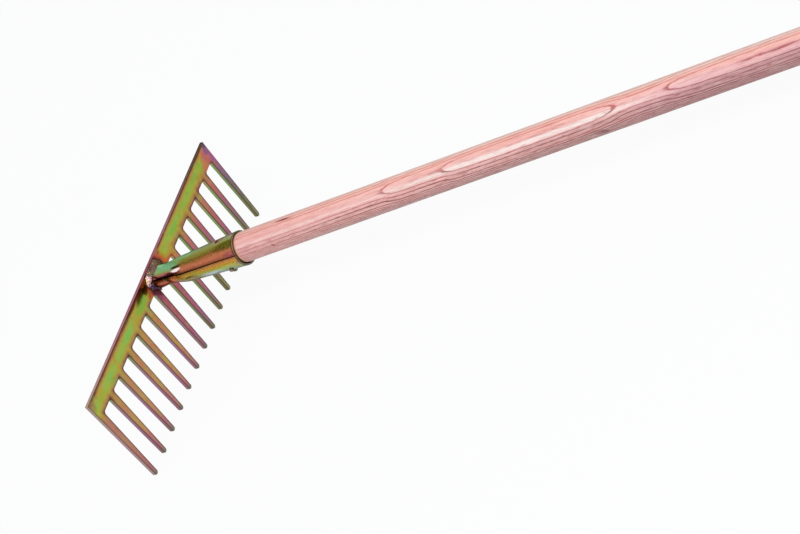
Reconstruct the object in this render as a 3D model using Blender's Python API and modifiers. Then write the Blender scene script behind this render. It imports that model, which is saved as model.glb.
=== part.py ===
"""Construction rake with a stamped steel comb, a rolled sheet socket and a wooden handle.

Metres, +Z up. The rake lies as it is put down: on the tips of its teeth and on the end of
its handle, which points towards -Y. Everything on the handle is modelled along local +Z of
one empty, from the front face of the comb towards the end of the handle, with local +Y on
the side away from the teeth.
"""

import math

import bmesh
import bpy

# Comb, stamped from flat plate
TOOTH_COUNT = 14
TOOTH_PITCH = 0.0256
TOOTH_ROOT_WIDTH = 0.0095
TOOTH_TIP_WIDTH = 0.0050
TOOTH_LENGTH = 0.0841
WEB_HEIGHT = 0.0198
PLATE_THICKNESS = 0.0037
SLOT_CORNER_RADIUS = 0.0026
COMB_EDGE_ROUND = 0.0004

# How the comb sits on the handle
HEAD_ANGLE = math.radians(94.6)
AXIS_BELOW_TOP_EDGE = 0.0161

# Wooden handle
HANDLE_LENGTH = 1.500
HANDLE_DIAMETER = 0.0285
BUTT_DIAMETER = 0.0260
BUTT_ROUND = 0.0080
CONE_SHOW = 0.0025
CONE_TIP_ROUND = 0.0012
CONE_TIP_FROM_SHOULDER = 0.0024

# Socket, rolled from sheet round the end of the handle, which lies along its upper side
SHEET_THICKNESS = 0.0015
SOCKET_LENGTH = 0.109
MOUTH_GAP = 0.00085
SHOULDER_DISTANCE = 0.042
SHOULDER_RADIUS = 0.0131
WAIST_DISTANCE = 0.016
WAIST_RADIUS = 0.0103
FOOT_RADIUS = 0.0116
NECK_LIFT = 0.0019
SEAM_ANGLE = math.radians(70.0)
SEAM_GAP_AT_NECK = 0.0020
SEAM_GAP_AT_MOUTH = 0.0010
FOLD_DEPTH = 0.0016
FOLD_ANGLE = math.radians(34.0)

# Fixing screw, and the spare hole opposite
SCREW_ANGLE = math.radians(126.0)
SCREW_FROM_MOUTH = 0.018
SCREW_HEAD_DIAMETER = 0.0046
SCREW_HEAD_HEIGHT = 0.0022
SCREW_SHANK_DIAMETER = 0.0034
SCREW_SHANK_LENGTH = 0.016
SCREW_POINT_LENGTH = 0.004
SPARE_HOLE_ANGLE = math.radians(-8.0)
SPARE_HOLE_FROM_MOUTH = 0.0224

# Weld round the foot of the socket, with its thin part under the neck and its run beside the seam
WELD_ON_COMB = 0.0048
WELD_ON_COMB_UNDER = 0.0016
WELD_ON_SOCKET = 0.0090
WELD_ON_SOCKET_UNDER = 0.0026
WELD_CROWN = 0.0007
WELD_RUN = 0.0026
WELD_RUN_ANGLE = math.radians(66.0)
WELD_RUN_SPREAD = math.radians(34.0)

# Clearance between touching pieces
CLEARANCE = 0.0003

# How far cutters run past what they cut
OVERRUN = 0.003

# Fineness of the meshes
MERGE_DISTANCE = 0.00002
TIP_SEGMENTS = 8
CORNER_SEGMENTS = 3
ROUND_SEGMENTS = 48
SHEET_COLUMNS = 44
NECK_ROWS = 12
CONE_ROWS = 4
BUTT_SEGMENTS = 5
SCREW_SEGMENTS = 20
DOME_SEGMENTS = 5
WELD_SEGMENTS = 44
CROWN_SEGMENTS = 4
WALL_SEGMENTS = 3

# Sizes that follow from the ones above
LEAN = HEAD_ANGLE - math.pi / 2
TIP_BELOW_AXIS = WEB_HEIGHT + TOOTH_LENGTH - AXIS_BELOW_TOP_EDGE
WEB_EDGE = AXIS_BELOW_TOP_EDGE - WEB_HEIGHT
COMB_HALF_WIDTH = ((TOOTH_COUNT - 1) * TOOTH_PITCH + TOOTH_ROOT_WIDTH) / 2
HANDLE_RADIUS = HANDLE_DIAMETER / 2
BUTT_RADIUS = BUTT_DIAMETER / 2
HOLE_RADIUS = SCREW_SHANK_DIAMETER / 2 + CLEARANCE
MOUTH_RADIUS = HANDLE_RADIUS + MOUTH_GAP + SHEET_THICKNESS
SOCKET_DROP = MOUTH_GAP - CLEARANCE
CONE_SLOPE = (MOUTH_RADIUS - SHOULDER_RADIUS) / (SOCKET_LENGTH - SHOULDER_DISTANCE)
CONE_START = SOCKET_LENGTH + CONE_SHOW
CONE_TIP = SHOULDER_DISTANCE + CONE_TIP_FROM_SHOULDER
BUTT_END = CONE_TIP + HANDLE_LENGTH


def blend(low, high, value):
    """Smooth step from 0 at low to 1 at high."""
    share = min(max((value - low) / (high - low), 0.0), 1.0)
    return share * share * (3.0 - 2.0 * share)


def arc(centre_x, centre_y, radius, start, end, segments):
    """Points on a circular arc, angles in degrees."""
    points = []
    for step in range(segments + 1):
        angle = math.radians(start + (end - start) * step / segments)
        points.append((centre_x + radius * math.cos(angle), centre_y + radius * math.sin(angle)))
    return points


# Scene and object helpers


def clear_scene():
    for old in list(bpy.data.objects):
        bpy.data.objects.remove(old, do_unlink=True)


def new_collection(name):
    collection = bpy.data.collections.new(name)
    bpy.context.scene.collection.children.link(collection)
    return collection


def new_empty(name, collection, parent=None, location=(0, 0, 0), turn=0.0):
    empty = bpy.data.objects.new(name, None)
    empty.empty_display_size = 0.05
    empty.location = location
    empty.rotation_euler = (turn, 0.0, 0.0)
    empty.parent = parent
    collection.objects.link(empty)
    return empty


def new_material(name, color, roughness, metallic):
    material = bpy.data.materials.new(name)
    material.use_nodes = True
    shader = material.node_tree.nodes["Principled BSDF"]
    shader.inputs["Base Color"].default_value = (*color, 1.0)
    shader.inputs["Roughness"].default_value = roughness
    shader.inputs["Metallic"].default_value = metallic
    return material


def add_object(name, mesh, collection, parent, material=None):
    obj = bpy.data.objects.new(name, mesh)
    obj.parent = parent
    collection.objects.link(obj)
    if material:
        mesh.materials.append(material)
    return obj


def profile_mesh(name, points):
    """A chain of edges in the XZ plane, for the Screw modifier."""
    mesh = bpy.data.meshes.new(name)
    edges = [(index, index + 1) for index in range(len(points) - 1)]
    mesh.from_pydata([(x, 0.0, z) for x, z in points], edges, [])
    return mesh


def turn_profile(obj, segments):
    screw = obj.modifiers.new("Turn", "SCREW")
    screw.axis = "Z"
    screw.steps = segments
    screw.render_steps = segments
    screw.use_merge_vertices = True
    screw.merge_threshold = MERGE_DISTANCE
    screw.use_smooth_shade = True


def outline_mesh(name, points, thickness, collection):
    """A flat outline as a 2D curve, extruded to the plate's thickness and welded."""
    curve = bpy.data.curves.new(name, "CURVE")
    curve.dimensions = "2D"
    curve.fill_mode = "BOTH"
    curve.extrude = thickness / 2
    spline = curve.splines.new("POLY")
    spline.points.add(len(points) - 1)
    for point, (x, y) in zip(spline.points, points):
        point.co = (x, y, 0.0, 1.0)
    spline.use_cyclic_u = True
    flat = bpy.data.objects.new(name + "_outline", curve)
    collection.objects.link(flat)
    evaluated = flat.evaluated_get(bpy.context.evaluated_depsgraph_get())
    mesh = bpy.data.meshes.new_from_object(evaluated)
    mesh.name = name
    bpy.data.objects.remove(flat, do_unlink=True)
    bpy.data.curves.remove(curve)
    shape = bmesh.new()
    shape.from_mesh(mesh)
    bmesh.ops.remove_doubles(shape, verts=shape.verts, dist=MERGE_DISTANCE)
    bmesh.ops.recalc_face_normals(shape, faces=shape.faces)
    shape.to_mesh(mesh)
    shape.free()
    return mesh


def shade_round(mesh, sharp_above=30.0):
    mesh.shade_smooth()
    mesh.set_sharp_from_angle(angle=math.radians(sharp_above))


def cut(obj, cutter):
    boolean = obj.modifiers.new("Cut " + cutter.name, "BOOLEAN")
    boolean.operation = "DIFFERENCE"
    boolean.solver = "EXACT"
    boolean.object = cutter


def new_cutter(name, mesh, collection, parent):
    cutter = add_object(name, mesh, collection, parent)
    cutter.hide_render = True
    cutter.display_type = "WIRE"
    return cutter


def cylinder_mesh(name, radius, low, high):
    """A closed cylinder along local Z between two heights."""
    shape = bmesh.new()
    bmesh.ops.create_cone(shape, cap_ends=True, segments=SCREW_SEGMENTS, radius1=radius, radius2=radius,
                          depth=high - low)
    bmesh.ops.translate(shape, verts=shape.verts, vec=(0.0, 0.0, (low + high) / 2))
    mesh = bpy.data.meshes.new(name)
    shape.to_mesh(mesh)
    shape.free()
    return mesh


def box_mesh(name, low, high):
    shape = bmesh.new()
    bmesh.ops.create_cube(shape, size=1.0)
    for vertex in shape.verts:
        for axis in range(3):
            vertex.co[axis] = high[axis] if vertex.co[axis] > 0 else low[axis]
    mesh = bpy.data.meshes.new(name)
    shape.to_mesh(mesh)
    shape.free()
    return mesh


# How the rake lies


def lying_pitch():
    """Angle by which the handle drops from the comb to its end, with both on the floor."""
    rise = TIP_BELOW_AXIS * math.cos(LEAN) - (BUTT_RADIUS - BUTT_ROUND)
    run = TIP_BELOW_AXIS * math.sin(LEAN) + BUTT_END - BUTT_ROUND
    return math.atan2(rise, run) - math.asin(BUTT_ROUND / math.hypot(rise, run))


def axis_start(pitch):
    """Where the handle's axis meets the comb, with the bottom of the whole box centred on the origin."""
    lean = LEAN + pitch
    height = TIP_BELOW_AXIS * math.cos(lean)
    front = TIP_BELOW_AXIS * math.sin(lean) + PLATE_THICKNESS * math.cos(lean)
    back = (BUTT_END - BUTT_ROUND) * math.cos(pitch) + BUTT_ROUND
    back += (BUTT_RADIUS - BUTT_ROUND) * math.sin(pitch)
    return (0.0, (back - front) / 2, height)


# Comb


def comb_outline():
    """Teeth, slots and the straight top edge, in the comb's own plane."""
    tip_y = -TIP_BELOW_AXIS
    tip_radius = TOOTH_TIP_WIDTH / 2
    corner = SLOT_CORNER_RADIUS
    points = [(-COMB_HALF_WIDTH, AXIS_BELOW_TOP_EDGE)]
    for index in range(TOOTH_COUNT):
        centre = (index - (TOOTH_COUNT - 1) / 2) * TOOTH_PITCH
        left = centre - TOOTH_ROOT_WIDTH / 2
        right = centre + TOOTH_ROOT_WIDTH / 2
        if index > 0:
            points += arc(left - corner, WEB_EDGE - corner, corner, 90, 0, CORNER_SEGMENTS)
        points += arc(centre, tip_y + tip_radius, tip_radius, 180, 360, TIP_SEGMENTS)
        if index < TOOTH_COUNT - 1:
            points += arc(right + corner, WEB_EDGE - corner, corner, 180, 90, CORNER_SEGMENTS)
    points.append((COMB_HALF_WIDTH, AXIS_BELOW_TOP_EDGE))
    return points


def make_comb(parts, plane, material):
    mesh = outline_mesh("comb", comb_outline(), PLATE_THICKNESS, parts)
    comb = add_object("comb", mesh, parts, plane, material)
    comb.location.z = -PLATE_THICKNESS / 2
    rounding = comb.modifiers.new("Rounded edges", "BEVEL")
    rounding.width = COMB_EDGE_ROUND
    rounding.segments = 1
    rounding.limit_method = "ANGLE"
    rounding.angle_limit = math.radians(60.0)
    return comb


# Socket


def socket_radius(distance):
    """Outer radius of the socket at a distance from the comb."""
    if distance < WAIST_DISTANCE:
        return FOOT_RADIUS + (WAIST_RADIUS - FOOT_RADIUS) * blend(0.0, WAIST_DISTANCE, distance)
    if distance < SHOULDER_DISTANCE:
        swell = blend(WAIST_DISTANCE, SHOULDER_DISTANCE, distance)
        return WAIST_RADIUS + (SHOULDER_RADIUS - WAIST_RADIUS) * swell
    return SHOULDER_RADIUS + CONE_SLOPE * (distance - SHOULDER_DISTANCE)


def socket_rise(distance):
    """How far the socket's own centre lies above the handle's axis."""
    return NECK_LIFT - (NECK_LIFT + SOCKET_DROP) * blend(0.0, SHOULDER_DISTANCE, distance)


def round_socket(angle, radius, distance):
    """A point at an angle and a radius round the socket's own centre, with the foot flush on the comb."""
    x = -radius * math.sin(angle)
    y = radius * math.cos(angle) + socket_rise(distance)
    flush = max(0.0, 1.0 - distance / SHOULDER_DISTANCE)
    return (x, y, distance + flush * (CLEARANCE + y * math.tan(LEAN)))


def fold_depth(distance, from_seam):
    """How far the upper lip of the seam is pressed in where the neck is narrow."""
    fade_in = blend(0.0, WAIST_DISTANCE / 2, distance)
    fade_out = 1.0 - blend(WAIST_DISTANCE, SHOULDER_DISTANCE, distance)
    across = max(0.0, 1.0 - from_seam / FOLD_ANGLE)
    return FOLD_DEPTH * fade_in * fade_out * across


def sheet_point(distance, share):
    """A point on the outside of the rolled sheet; share runs round from lip to lip of the seam."""
    radius = socket_radius(distance)
    gap = SEAM_GAP_AT_NECK
    gap += (SEAM_GAP_AT_MOUTH - SEAM_GAP_AT_NECK) * blend(SHOULDER_DISTANCE, SOCKET_LENGTH, distance)
    half_gap = gap / (2 * radius)
    sweep = 2 * math.pi - 2 * half_gap
    angle = SEAM_ANGLE + half_gap + sweep * share
    radius -= fold_depth(distance, sweep * (1.0 - share))
    return round_socket(angle, radius, distance)


def sheet_distances():
    neck = [SHOULDER_DISTANCE * row / NECK_ROWS for row in range(NECK_ROWS)]
    cone = SOCKET_LENGTH - SHOULDER_DISTANCE
    return neck + [SHOULDER_DISTANCE + cone * row / CONE_ROWS for row in range(CONE_ROWS + 1)]


def socket_mesh():
    """The flat grid of the sheet, rolled up by moving each of its points."""
    distances = sheet_distances()
    rows = len(distances) - 1
    shape = bmesh.new()
    bmesh.ops.create_grid(shape, x_segments=SHEET_COLUMNS, y_segments=rows, size=0.5)
    for vertex in shape.verts:
        row = round((vertex.co.y + 0.5) * rows)
        vertex.co = sheet_point(distances[row], vertex.co.x + 0.5)
    mesh = bpy.data.meshes.new("socket")
    shape.to_mesh(mesh)
    shape.free()
    return mesh


def place_on_socket(obj, angle, distance):
    """Puts an object's origin on the outside of the sheet, its local Z pointing straight out."""
    obj.location = round_socket(angle, socket_radius(distance), distance)
    obj.rotation_euler = (-math.pi / 2, 0.0, angle)


def make_socket(parts, cutters, axis, material):
    mesh = socket_mesh()
    socket = add_object("socket", mesh, parts, axis, material)
    sheet = socket.modifiers.new("Sheet", "SOLIDIFY")
    sheet.thickness = SHEET_THICKNESS
    sheet.offset = -1.0
    sheet.use_even_offset = True
    holes = (
        ("screw_hole", SCREW_ANGLE, SCREW_FROM_MOUTH),
        ("spare_hole", SPARE_HOLE_ANGLE, SPARE_HOLE_FROM_MOUTH),
    )
    for name, angle, from_mouth in holes:
        drill = cylinder_mesh(name, HOLE_RADIUS, -SHEET_THICKNESS - OVERRUN, OVERRUN)
        hole = new_cutter(name, drill, cutters, axis)
        place_on_socket(hole, angle, SOCKET_LENGTH - from_mouth)
        cut(socket, hole)
    shade_round(mesh)
    return socket


# Weld


def weld_legs(angle):
    """How far the bead reaches over the comb and along the socket, at an angle round the foot
    between half a turn back and half a turn on."""
    low = math.degrees(abs(angle))
    over_comb = 1.0 - blend(90.0, 125.0, low)
    on_comb = WELD_ON_COMB_UNDER + (WELD_ON_COMB - WELD_ON_COMB_UNDER) * over_comb
    on_comb += WELD_RUN * blend(0.0, 1.0, 1.0 - abs(angle - WELD_RUN_ANGLE) / WELD_RUN_SPREAD)
    if math.cos(angle) > 0.0:
        to_edge = (AXIS_BELOW_TOP_EDGE - COMB_EDGE_ROUND) * math.cos(LEAN) - NECK_LIFT
        on_comb = min(on_comb, to_edge / math.cos(angle) - FOOT_RADIUS - CLEARANCE)
    up_neck = 1.0 - blend(50.0, 100.0, low)
    on_socket = WELD_ON_SOCKET_UNDER + (WELD_ON_SOCKET - WELD_ON_SOCKET_UNDER) * up_neck
    return on_comb, on_socket


def weld_section(angle):
    """Section of the bead at an angle round the foot: crowned face, then the wall beside the socket."""
    on_comb, on_socket = weld_legs(angle)
    slant = math.hypot(on_comb, on_socket)
    section = []
    for step in range(CROWN_SEGMENTS + 1):
        share = step / CROWN_SEGMENTS
        crown = WELD_CROWN * math.sin(math.pi * share)
        out = on_comb * share + crown * on_socket / slant
        section.append((out, on_socket * (1.0 - share) + crown * on_comb / slant))
    section += [(0.0, on_socket * step / WALL_SEGMENTS) for step in range(WALL_SEGMENTS)]
    return [round_socket(angle, socket_radius(height) + CLEARANCE + out, height) for out, height in section]


def weld_mesh():
    """The section carried once round the foot of the socket."""
    shape = bmesh.new()
    rings = []
    for step in range(WELD_SEGMENTS):
        angle = 2 * math.pi * step / WELD_SEGMENTS - math.pi
        rings.append([shape.verts.new(point) for point in weld_section(angle)])
    for ring, following in zip(rings, rings[1:] + rings[:1]):
        for index, corner in enumerate(ring):
            shape.faces.new((corner, ring[index - 1], following[index - 1], following[index]))
    bmesh.ops.recalc_face_normals(shape, faces=shape.faces)
    mesh = bpy.data.meshes.new("weld_bead")
    shape.to_mesh(mesh)
    shape.free()
    shade_round(mesh)
    return mesh


def make_weld(parts, cutters, axis, plane, material):
    """The bead round the foot, trimmed over the middle slot."""
    weld = add_object("weld_bead", weld_mesh(), parts, axis, material)
    slot_half = (TOOTH_PITCH - TOOTH_ROOT_WIDTH) / 2
    reach = FOOT_RADIUS + WELD_ON_COMB + OVERRUN
    high = WELD_ON_SOCKET + WELD_CROWN + OVERRUN
    over_slot = box_mesh("weld_slot_trim", (-slot_half, -reach, -OVERRUN), (slot_half, WEB_EDGE, high))
    cut(weld, new_cutter(over_slot.name, over_slot, cutters, plane))
    return weld


# Handle


def handle_profile():
    """From the end of the handle down its outer side to the turned cone in the socket."""
    flat = BUTT_RADIUS - BUTT_ROUND
    points = [(0.0, BUTT_END)]
    points += arc(flat, BUTT_END - BUTT_ROUND, BUTT_ROUND, 90, 0, BUTT_SEGMENTS)
    points.append((HANDLE_RADIUS, CONE_START))
    tip_radius = HANDLE_RADIUS - CONE_SLOPE * (CONE_START - CONE_TIP)
    points.append((tip_radius, CONE_TIP + CONE_TIP_ROUND))
    points.append((tip_radius - CONE_TIP_ROUND, CONE_TIP))
    points.append((0.0, CONE_TIP))
    return points


def make_handle(parts, cutters, axis, material):
    mesh = profile_mesh("handle", handle_profile())
    handle = add_object("handle", mesh, parts, axis, material)
    turn_profile(handle, ROUND_SEGMENTS)
    drill = cylinder_mesh("pilot_hole", HOLE_RADIUS, -SCREW_SHANK_LENGTH - CLEARANCE, OVERRUN)
    pilot = new_cutter("pilot_hole", drill, cutters, axis)
    place_on_socket(pilot, SCREW_ANGLE, SOCKET_LENGTH - SCREW_FROM_MOUTH)
    cut(handle, pilot)
    return handle


# Fixing screw


def screw_profile():
    """Domed head, shank and point, with the seat of the head at the clearance above the sheet."""
    head = SCREW_HEAD_DIAMETER / 2
    shank = SCREW_SHANK_DIAMETER / 2
    points = []
    for step in range(DOME_SEGMENTS + 1):
        angle = math.radians(90.0 - 90.0 * step / DOME_SEGMENTS)
        points.append((head * math.cos(angle), CLEARANCE + SCREW_HEAD_HEIGHT * math.sin(angle)))
    points[0] = (0.0, CLEARANCE + SCREW_HEAD_HEIGHT)
    points.append((shank, CLEARANCE))
    points.append((shank, SCREW_POINT_LENGTH - SCREW_SHANK_LENGTH))
    points.append((0.0, -SCREW_SHANK_LENGTH))
    return points


def make_screw(parts, axis, material):
    mesh = profile_mesh("fixing_screw", screw_profile())
    screw = add_object("fixing_screw", mesh, parts, axis, material)
    place_on_socket(screw, SCREW_ANGLE, SOCKET_LENGTH - SCREW_FROM_MOUTH)
    turn_profile(screw, SCREW_SEGMENTS)
    return screw


def main():
    clear_scene()
    parts = new_collection("construction_rake")
    cutters = new_collection("cutters")

    comb_steel = new_material("comb_steel", (0.46, 0.50, 0.20), 0.32, 1.0)
    socket_steel = new_material("socket_steel", (0.58, 0.44, 0.20), 0.30, 1.0)
    weld_metal = new_material("weld_metal", (0.22, 0.17, 0.13), 0.55, 1.0)
    wood = new_material("wood", (0.82, 0.47, 0.37), 0.55, 0.0)
    screw_steel = new_material("screw_steel", (0.55, 0.55, 0.56), 0.30, 1.0)

    pitch = lying_pitch()
    axis = new_empty("handle_axis", parts, None, axis_start(pitch), math.pi / 2 + pitch)
    plane = new_empty("comb_face", parts, axis, (0, 0, 0), LEAN)

    make_comb(parts, plane, comb_steel)
    make_socket(parts, cutters, axis, socket_steel)
    make_weld(parts, cutters, axis, plane, weld_metal)
    make_handle(parts, cutters, axis, wood)
    make_screw(parts, axis, screw_steel)


main()
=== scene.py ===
"""Looks of a construction rake: a stamped comb and a rolled socket under a yellow chromate film,
a rippled weld between them, and a long pink-brown wooden handle held by one screw.

Metres, +Z up. The rake lies on the tips of its teeth and on the end of its handle. Pieces on
the handle are modelled in its own frame: local +Z runs from the front face of the comb to the
end of the handle and local +Y points away from the teeth. The comb and the weld are modelled
in the comb's frame, which leans back from the handle's by the head angle.
"""

import math

import bmesh
import bpy
from mathutils import Euler, Matrix, Vector, noise


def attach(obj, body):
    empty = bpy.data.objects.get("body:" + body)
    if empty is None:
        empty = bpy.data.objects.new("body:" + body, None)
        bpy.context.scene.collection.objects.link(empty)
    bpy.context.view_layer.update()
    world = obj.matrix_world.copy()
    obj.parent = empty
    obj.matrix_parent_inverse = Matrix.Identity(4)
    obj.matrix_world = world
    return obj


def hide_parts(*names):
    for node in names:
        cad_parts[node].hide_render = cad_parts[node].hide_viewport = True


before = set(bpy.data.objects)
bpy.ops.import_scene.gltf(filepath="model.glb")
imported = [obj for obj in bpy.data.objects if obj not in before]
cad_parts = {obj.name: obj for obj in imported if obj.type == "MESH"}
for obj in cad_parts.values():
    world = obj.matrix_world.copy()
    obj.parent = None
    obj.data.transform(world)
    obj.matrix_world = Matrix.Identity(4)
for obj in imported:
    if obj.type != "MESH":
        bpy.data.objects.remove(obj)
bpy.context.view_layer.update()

# Comb
TOOTH_COUNT = 14
TOOTH_PITCH = 0.0256
TOOTH_ROOT_WIDTH = 0.0095
TOOTH_TIP_WIDTH = 0.0050
TOOTH_LENGTH = 0.0841
WEB_HEIGHT = 0.0198
PLATE_THICKNESS = 0.0037
SLOT_CORNER_RADIUS = 0.0026
COMB_EDGE_ROUND = 0.0005
HEAD_ANGLE = math.radians(94.6)
AXIS_BELOW_TOP_EDGE = 0.0161

# Wooden handle
HANDLE_LENGTH = 1.500
HANDLE_DIAMETER = 0.0285
BUTT_DIAMETER = 0.0260
BUTT_ROUND = 0.0080
CONE_SHOW = 0.0025
CONE_TIP_ROUND = 0.0012
CONE_TIP_FROM_SHOULDER = 0.0024

# Socket
SHEET_THICKNESS = 0.0015
SHEET_EDGE_ROUND = 0.0003
SOCKET_LENGTH = 0.109
MOUTH_GAP = 0.00085
SHOULDER_DISTANCE = 0.042
SHOULDER_RADIUS = 0.0131
WAIST_DISTANCE = 0.016
WAIST_RADIUS = 0.0103
FOOT_RADIUS = 0.0116
NECK_LIFT = 0.0019
SEAM_DEGREES = 70.0
SEAM_GAP_AT_NECK = 0.0012
SEAM_GAP_AT_MOUTH = 0.0007
LIP_OVERLAP = 0.0008
LIPS_CLOSE = (0.006, 0.009)
LIPS_OPEN = (WAIST_DISTANCE, WAIST_DISTANCE + 0.006)
HOLE_DISH_DEPTH = 0.00035
HOLE_DISH_SPREAD = 0.0034

# Forms pressed into the sheet beside its seam: depths, distances from the comb, and degrees from
# the seam. A fold and a dent lie above the seam; a lobe, a crease and flutes lie below it.
FOLD_DEPTH = 0.0017
FOLD_START = 0.006
FOLD_END = 0.030
FOLD_FADE = 0.009
FOLD_DEGREES = 18.0
DENT_DEPTH = 0.0012
DENT_START = 0.025
DENT_DEEP = (0.028, 0.032)
DENT_END = 0.041
DENT_FROM_DEGREES = 16.0
DENT_TO_DEGREES = 33.5
DENT_EDGE_DEGREES = 3.0
LOBE_HEIGHT = 0.0009
LOBE_DISTANCE = 0.0250
LOBE_SPREAD = 0.0042
LOBE_DEGREES = 20.0
LOBE_SPREAD_DEGREES = 16.0
CREASE_DEPTH = 0.0009
CREASE_DISTANCE = 0.0300
CREASE_SPREAD = 0.0016
CREASE_DEGREES = 8.0
CREASE_SLANT = 0.0001
FLUTE_DEPTH = 0.00030
FLUTE_START = (0.030, 0.038)
FLUTE_END = (0.050, 0.075)
FLUTES_ROUND = 20.0
FLUTE_SPREAD_DEGREES = 18.0

# Screw and spare hole
SCREW_DEGREES = 126.0
SCREW_FROM_MOUTH = 0.018
SCREW_HEAD_DIAMETER = 0.0046
SCREW_HEAD_HEIGHT = 0.0022
SCREW_HEAD_RIM = 0.0005
SCREW_HEAD_UNDERCUT = 0.0002
SCREW_SHANK_DIAMETER = 0.0034
SCREW_SHANK_LENGTH = 0.016
SCREW_POINT_LENGTH = 0.004
THREAD_PITCH = 0.0013
THREAD_ROOT_SHARE = 0.78
RECESS_LENGTH = 0.0032
RECESS_WIDTH = 0.0007
RECESS_DEPTH = 0.0011
SPARE_HOLE_DEGREES = -8.0
SPARE_HOLE_FROM_MOUTH = 0.0224

# Weld
WELD_ON_COMB = 0.0048
WELD_ON_COMB_UNDER = 0.0016
WELD_ON_SOCKET = 0.0090
WELD_ON_SOCKET_UNDER = 0.0026
WELD_CROWN = 0.0007
WELD_RUN = 0.0026
WELD_RUN_DEGREES = 66.0
WELD_RUN_SPREAD_DEGREES = 34.0
WELD_RUN_IN = 0.0002
UNEVEN_ON_COMB = 0.16
UNEVEN_ON_SOCKET = 0.10
WELD_PITS = 0.0004
RIPPLE_SPACING = 0.0021
RIPPLE_HEIGHT = 0.00035
RIPPLE_BOW = 2.6

# Degrees from the top of the foot over which the weld thins out: on the comb, and up the neck on
# the seam's side and on the other side
THIN_ON_COMB = (90.0, 125.0)
THIN_BY_SEAM = (5.0, 75.0)
THIN_OFF_SEAM = (50.0, 100.0)

CLEARANCE = 0.0003
OVERRUN = 0.003

# Millimetres in a metre
MILLIMETRES = 1000.0

# Fineness of the meshes
MERGE_DISTANCE = 0.00001
CORNER_SEGMENTS = 6
TIP_SEGMENTS = 16
SHEET_COLUMNS = 180
SHEET_ROWS = 160
WELD_COLUMNS = 300
WELD_ROWS = 24
WELD_FACE_ROWS = 20
BUTT_SEGMENTS = 12
HANDLE_RINGS = 60
HANDLE_SEGMENTS = 96
DOME_SEGMENTS = 10
SCREW_SEGMENTS = 48
DRILL_SEGMENTS = 40

# Sizes that follow
LEAN = HEAD_ANGLE - math.pi / 2
TIP_BELOW_AXIS = WEB_HEIGHT + TOOTH_LENGTH - AXIS_BELOW_TOP_EDGE
WEB_EDGE = AXIS_BELOW_TOP_EDGE - WEB_HEIGHT
COMB_HALF_WIDTH = ((TOOTH_COUNT - 1) * TOOTH_PITCH + TOOTH_ROOT_WIDTH) / 2
HANDLE_RADIUS = HANDLE_DIAMETER / 2
BUTT_RADIUS = BUTT_DIAMETER / 2
HOLE_RADIUS = SCREW_SHANK_DIAMETER / 2 + CLEARANCE
MOUTH_RADIUS = HANDLE_RADIUS + MOUTH_GAP + SHEET_THICKNESS
SOCKET_DROP = MOUTH_GAP - CLEARANCE
CONE_SLOPE = (MOUTH_RADIUS - SHOULDER_RADIUS) / (SOCKET_LENGTH - SHOULDER_DISTANCE)
CONE_START = SOCKET_LENGTH + CONE_SHOW
CONE_TIP = SHOULDER_DISTANCE + CONE_TIP_FROM_SHOULDER
BUTT_END = CONE_TIP + HANDLE_LENGTH

# Camera of the photograph, an image of 800 by 534, and the lamps: place, width, height, and how
# many times brighter than white
CAMERA_PLACE = (-1.19163, -0.55872, 0.86977)
CAMERA_TURN = (52.775, 38.271, -72.660)
CAMERA_LENS = 92.25
SENSOR_WIDTH = 36.0
SOFTBOXES = {
    "key": ((-1.6, -0.3, 2.0), 1.6, 1.2, 5.2),
    "fill": ((1.8, 1.4, 1.6), 1.2, 1.2, 1.2),
}
LAMPS_AIM_AT = (0.0, 0.3, 0.06)
SURROUNDINGS_AS_LIGHT = 0.52
FLOOR_GLOW = 0.91
FLOOR_SIZE = 30.0
WHITE = (1.0, 1.0, 1.0, 1.0)
FLOOR_WHITE = (0.992, 1.0, 0.997, 1.0)
FLOOR_TONES = ((0.90, 0.90, 0.895, 1.0), (0.93, 0.93, 0.93, 1.0))


def blend(low, high, value):
    """Smooth step from 0 at low to 1 at high."""
    share = min(max((value - low) / (high - low), 0.0), 1.0)
    return share * share * (3.0 - 2.0 * share)


def bell(value, middle, spread):
    """1 at the middle, fading smoothly to nothing about two spreads away."""
    return math.exp(-(((value - middle) / spread) ** 2))


def between(first, second, share):
    return first + (second - first) * share


def arc(centre_x, centre_y, radius, start, end, segments):
    """Points on a circular arc, angles in degrees."""
    points = []
    for step in range(segments + 1):
        angle = math.radians(start + (end - start) * step / segments)
        points.append((centre_x + radius * math.cos(angle), centre_y + radius * math.sin(angle)))
    return points


def lying_pitch():
    """Angle by which the handle drops from the comb to its end, with both on the floor."""
    rise = TIP_BELOW_AXIS * math.cos(LEAN) - (BUTT_RADIUS - BUTT_ROUND)
    run = TIP_BELOW_AXIS * math.sin(LEAN) + BUTT_END - BUTT_ROUND
    return math.atan2(rise, run) - math.asin(BUTT_ROUND / math.hypot(rise, run))


def handle_frame():
    """The frame with its origin where the handle's axis meets the comb."""
    pitch = lying_pitch()
    lean = LEAN + pitch
    front = TIP_BELOW_AXIS * math.sin(lean) + PLATE_THICKNESS * math.cos(lean)
    back = (BUTT_END - BUTT_ROUND) * math.cos(pitch) + BUTT_ROUND
    back += (BUTT_RADIUS - BUTT_ROUND) * math.sin(pitch)
    place = Matrix.Translation((0.0, (back - front) / 2, TIP_BELOW_AXIS * math.cos(lean)))
    return place @ Matrix.Rotation(math.pi / 2 + pitch, 4, "X")


HANDLE_FRAME = handle_frame()
COMB_FRAME = HANDLE_FRAME @ Matrix.Rotation(LEAN, 4, "X")


# Mesh helpers


def add_piece(name, mesh, placed):
    piece = bpy.data.objects.new(name, mesh)
    bpy.context.scene.collection.objects.link(piece)
    piece.matrix_world = placed
    return piece


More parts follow.
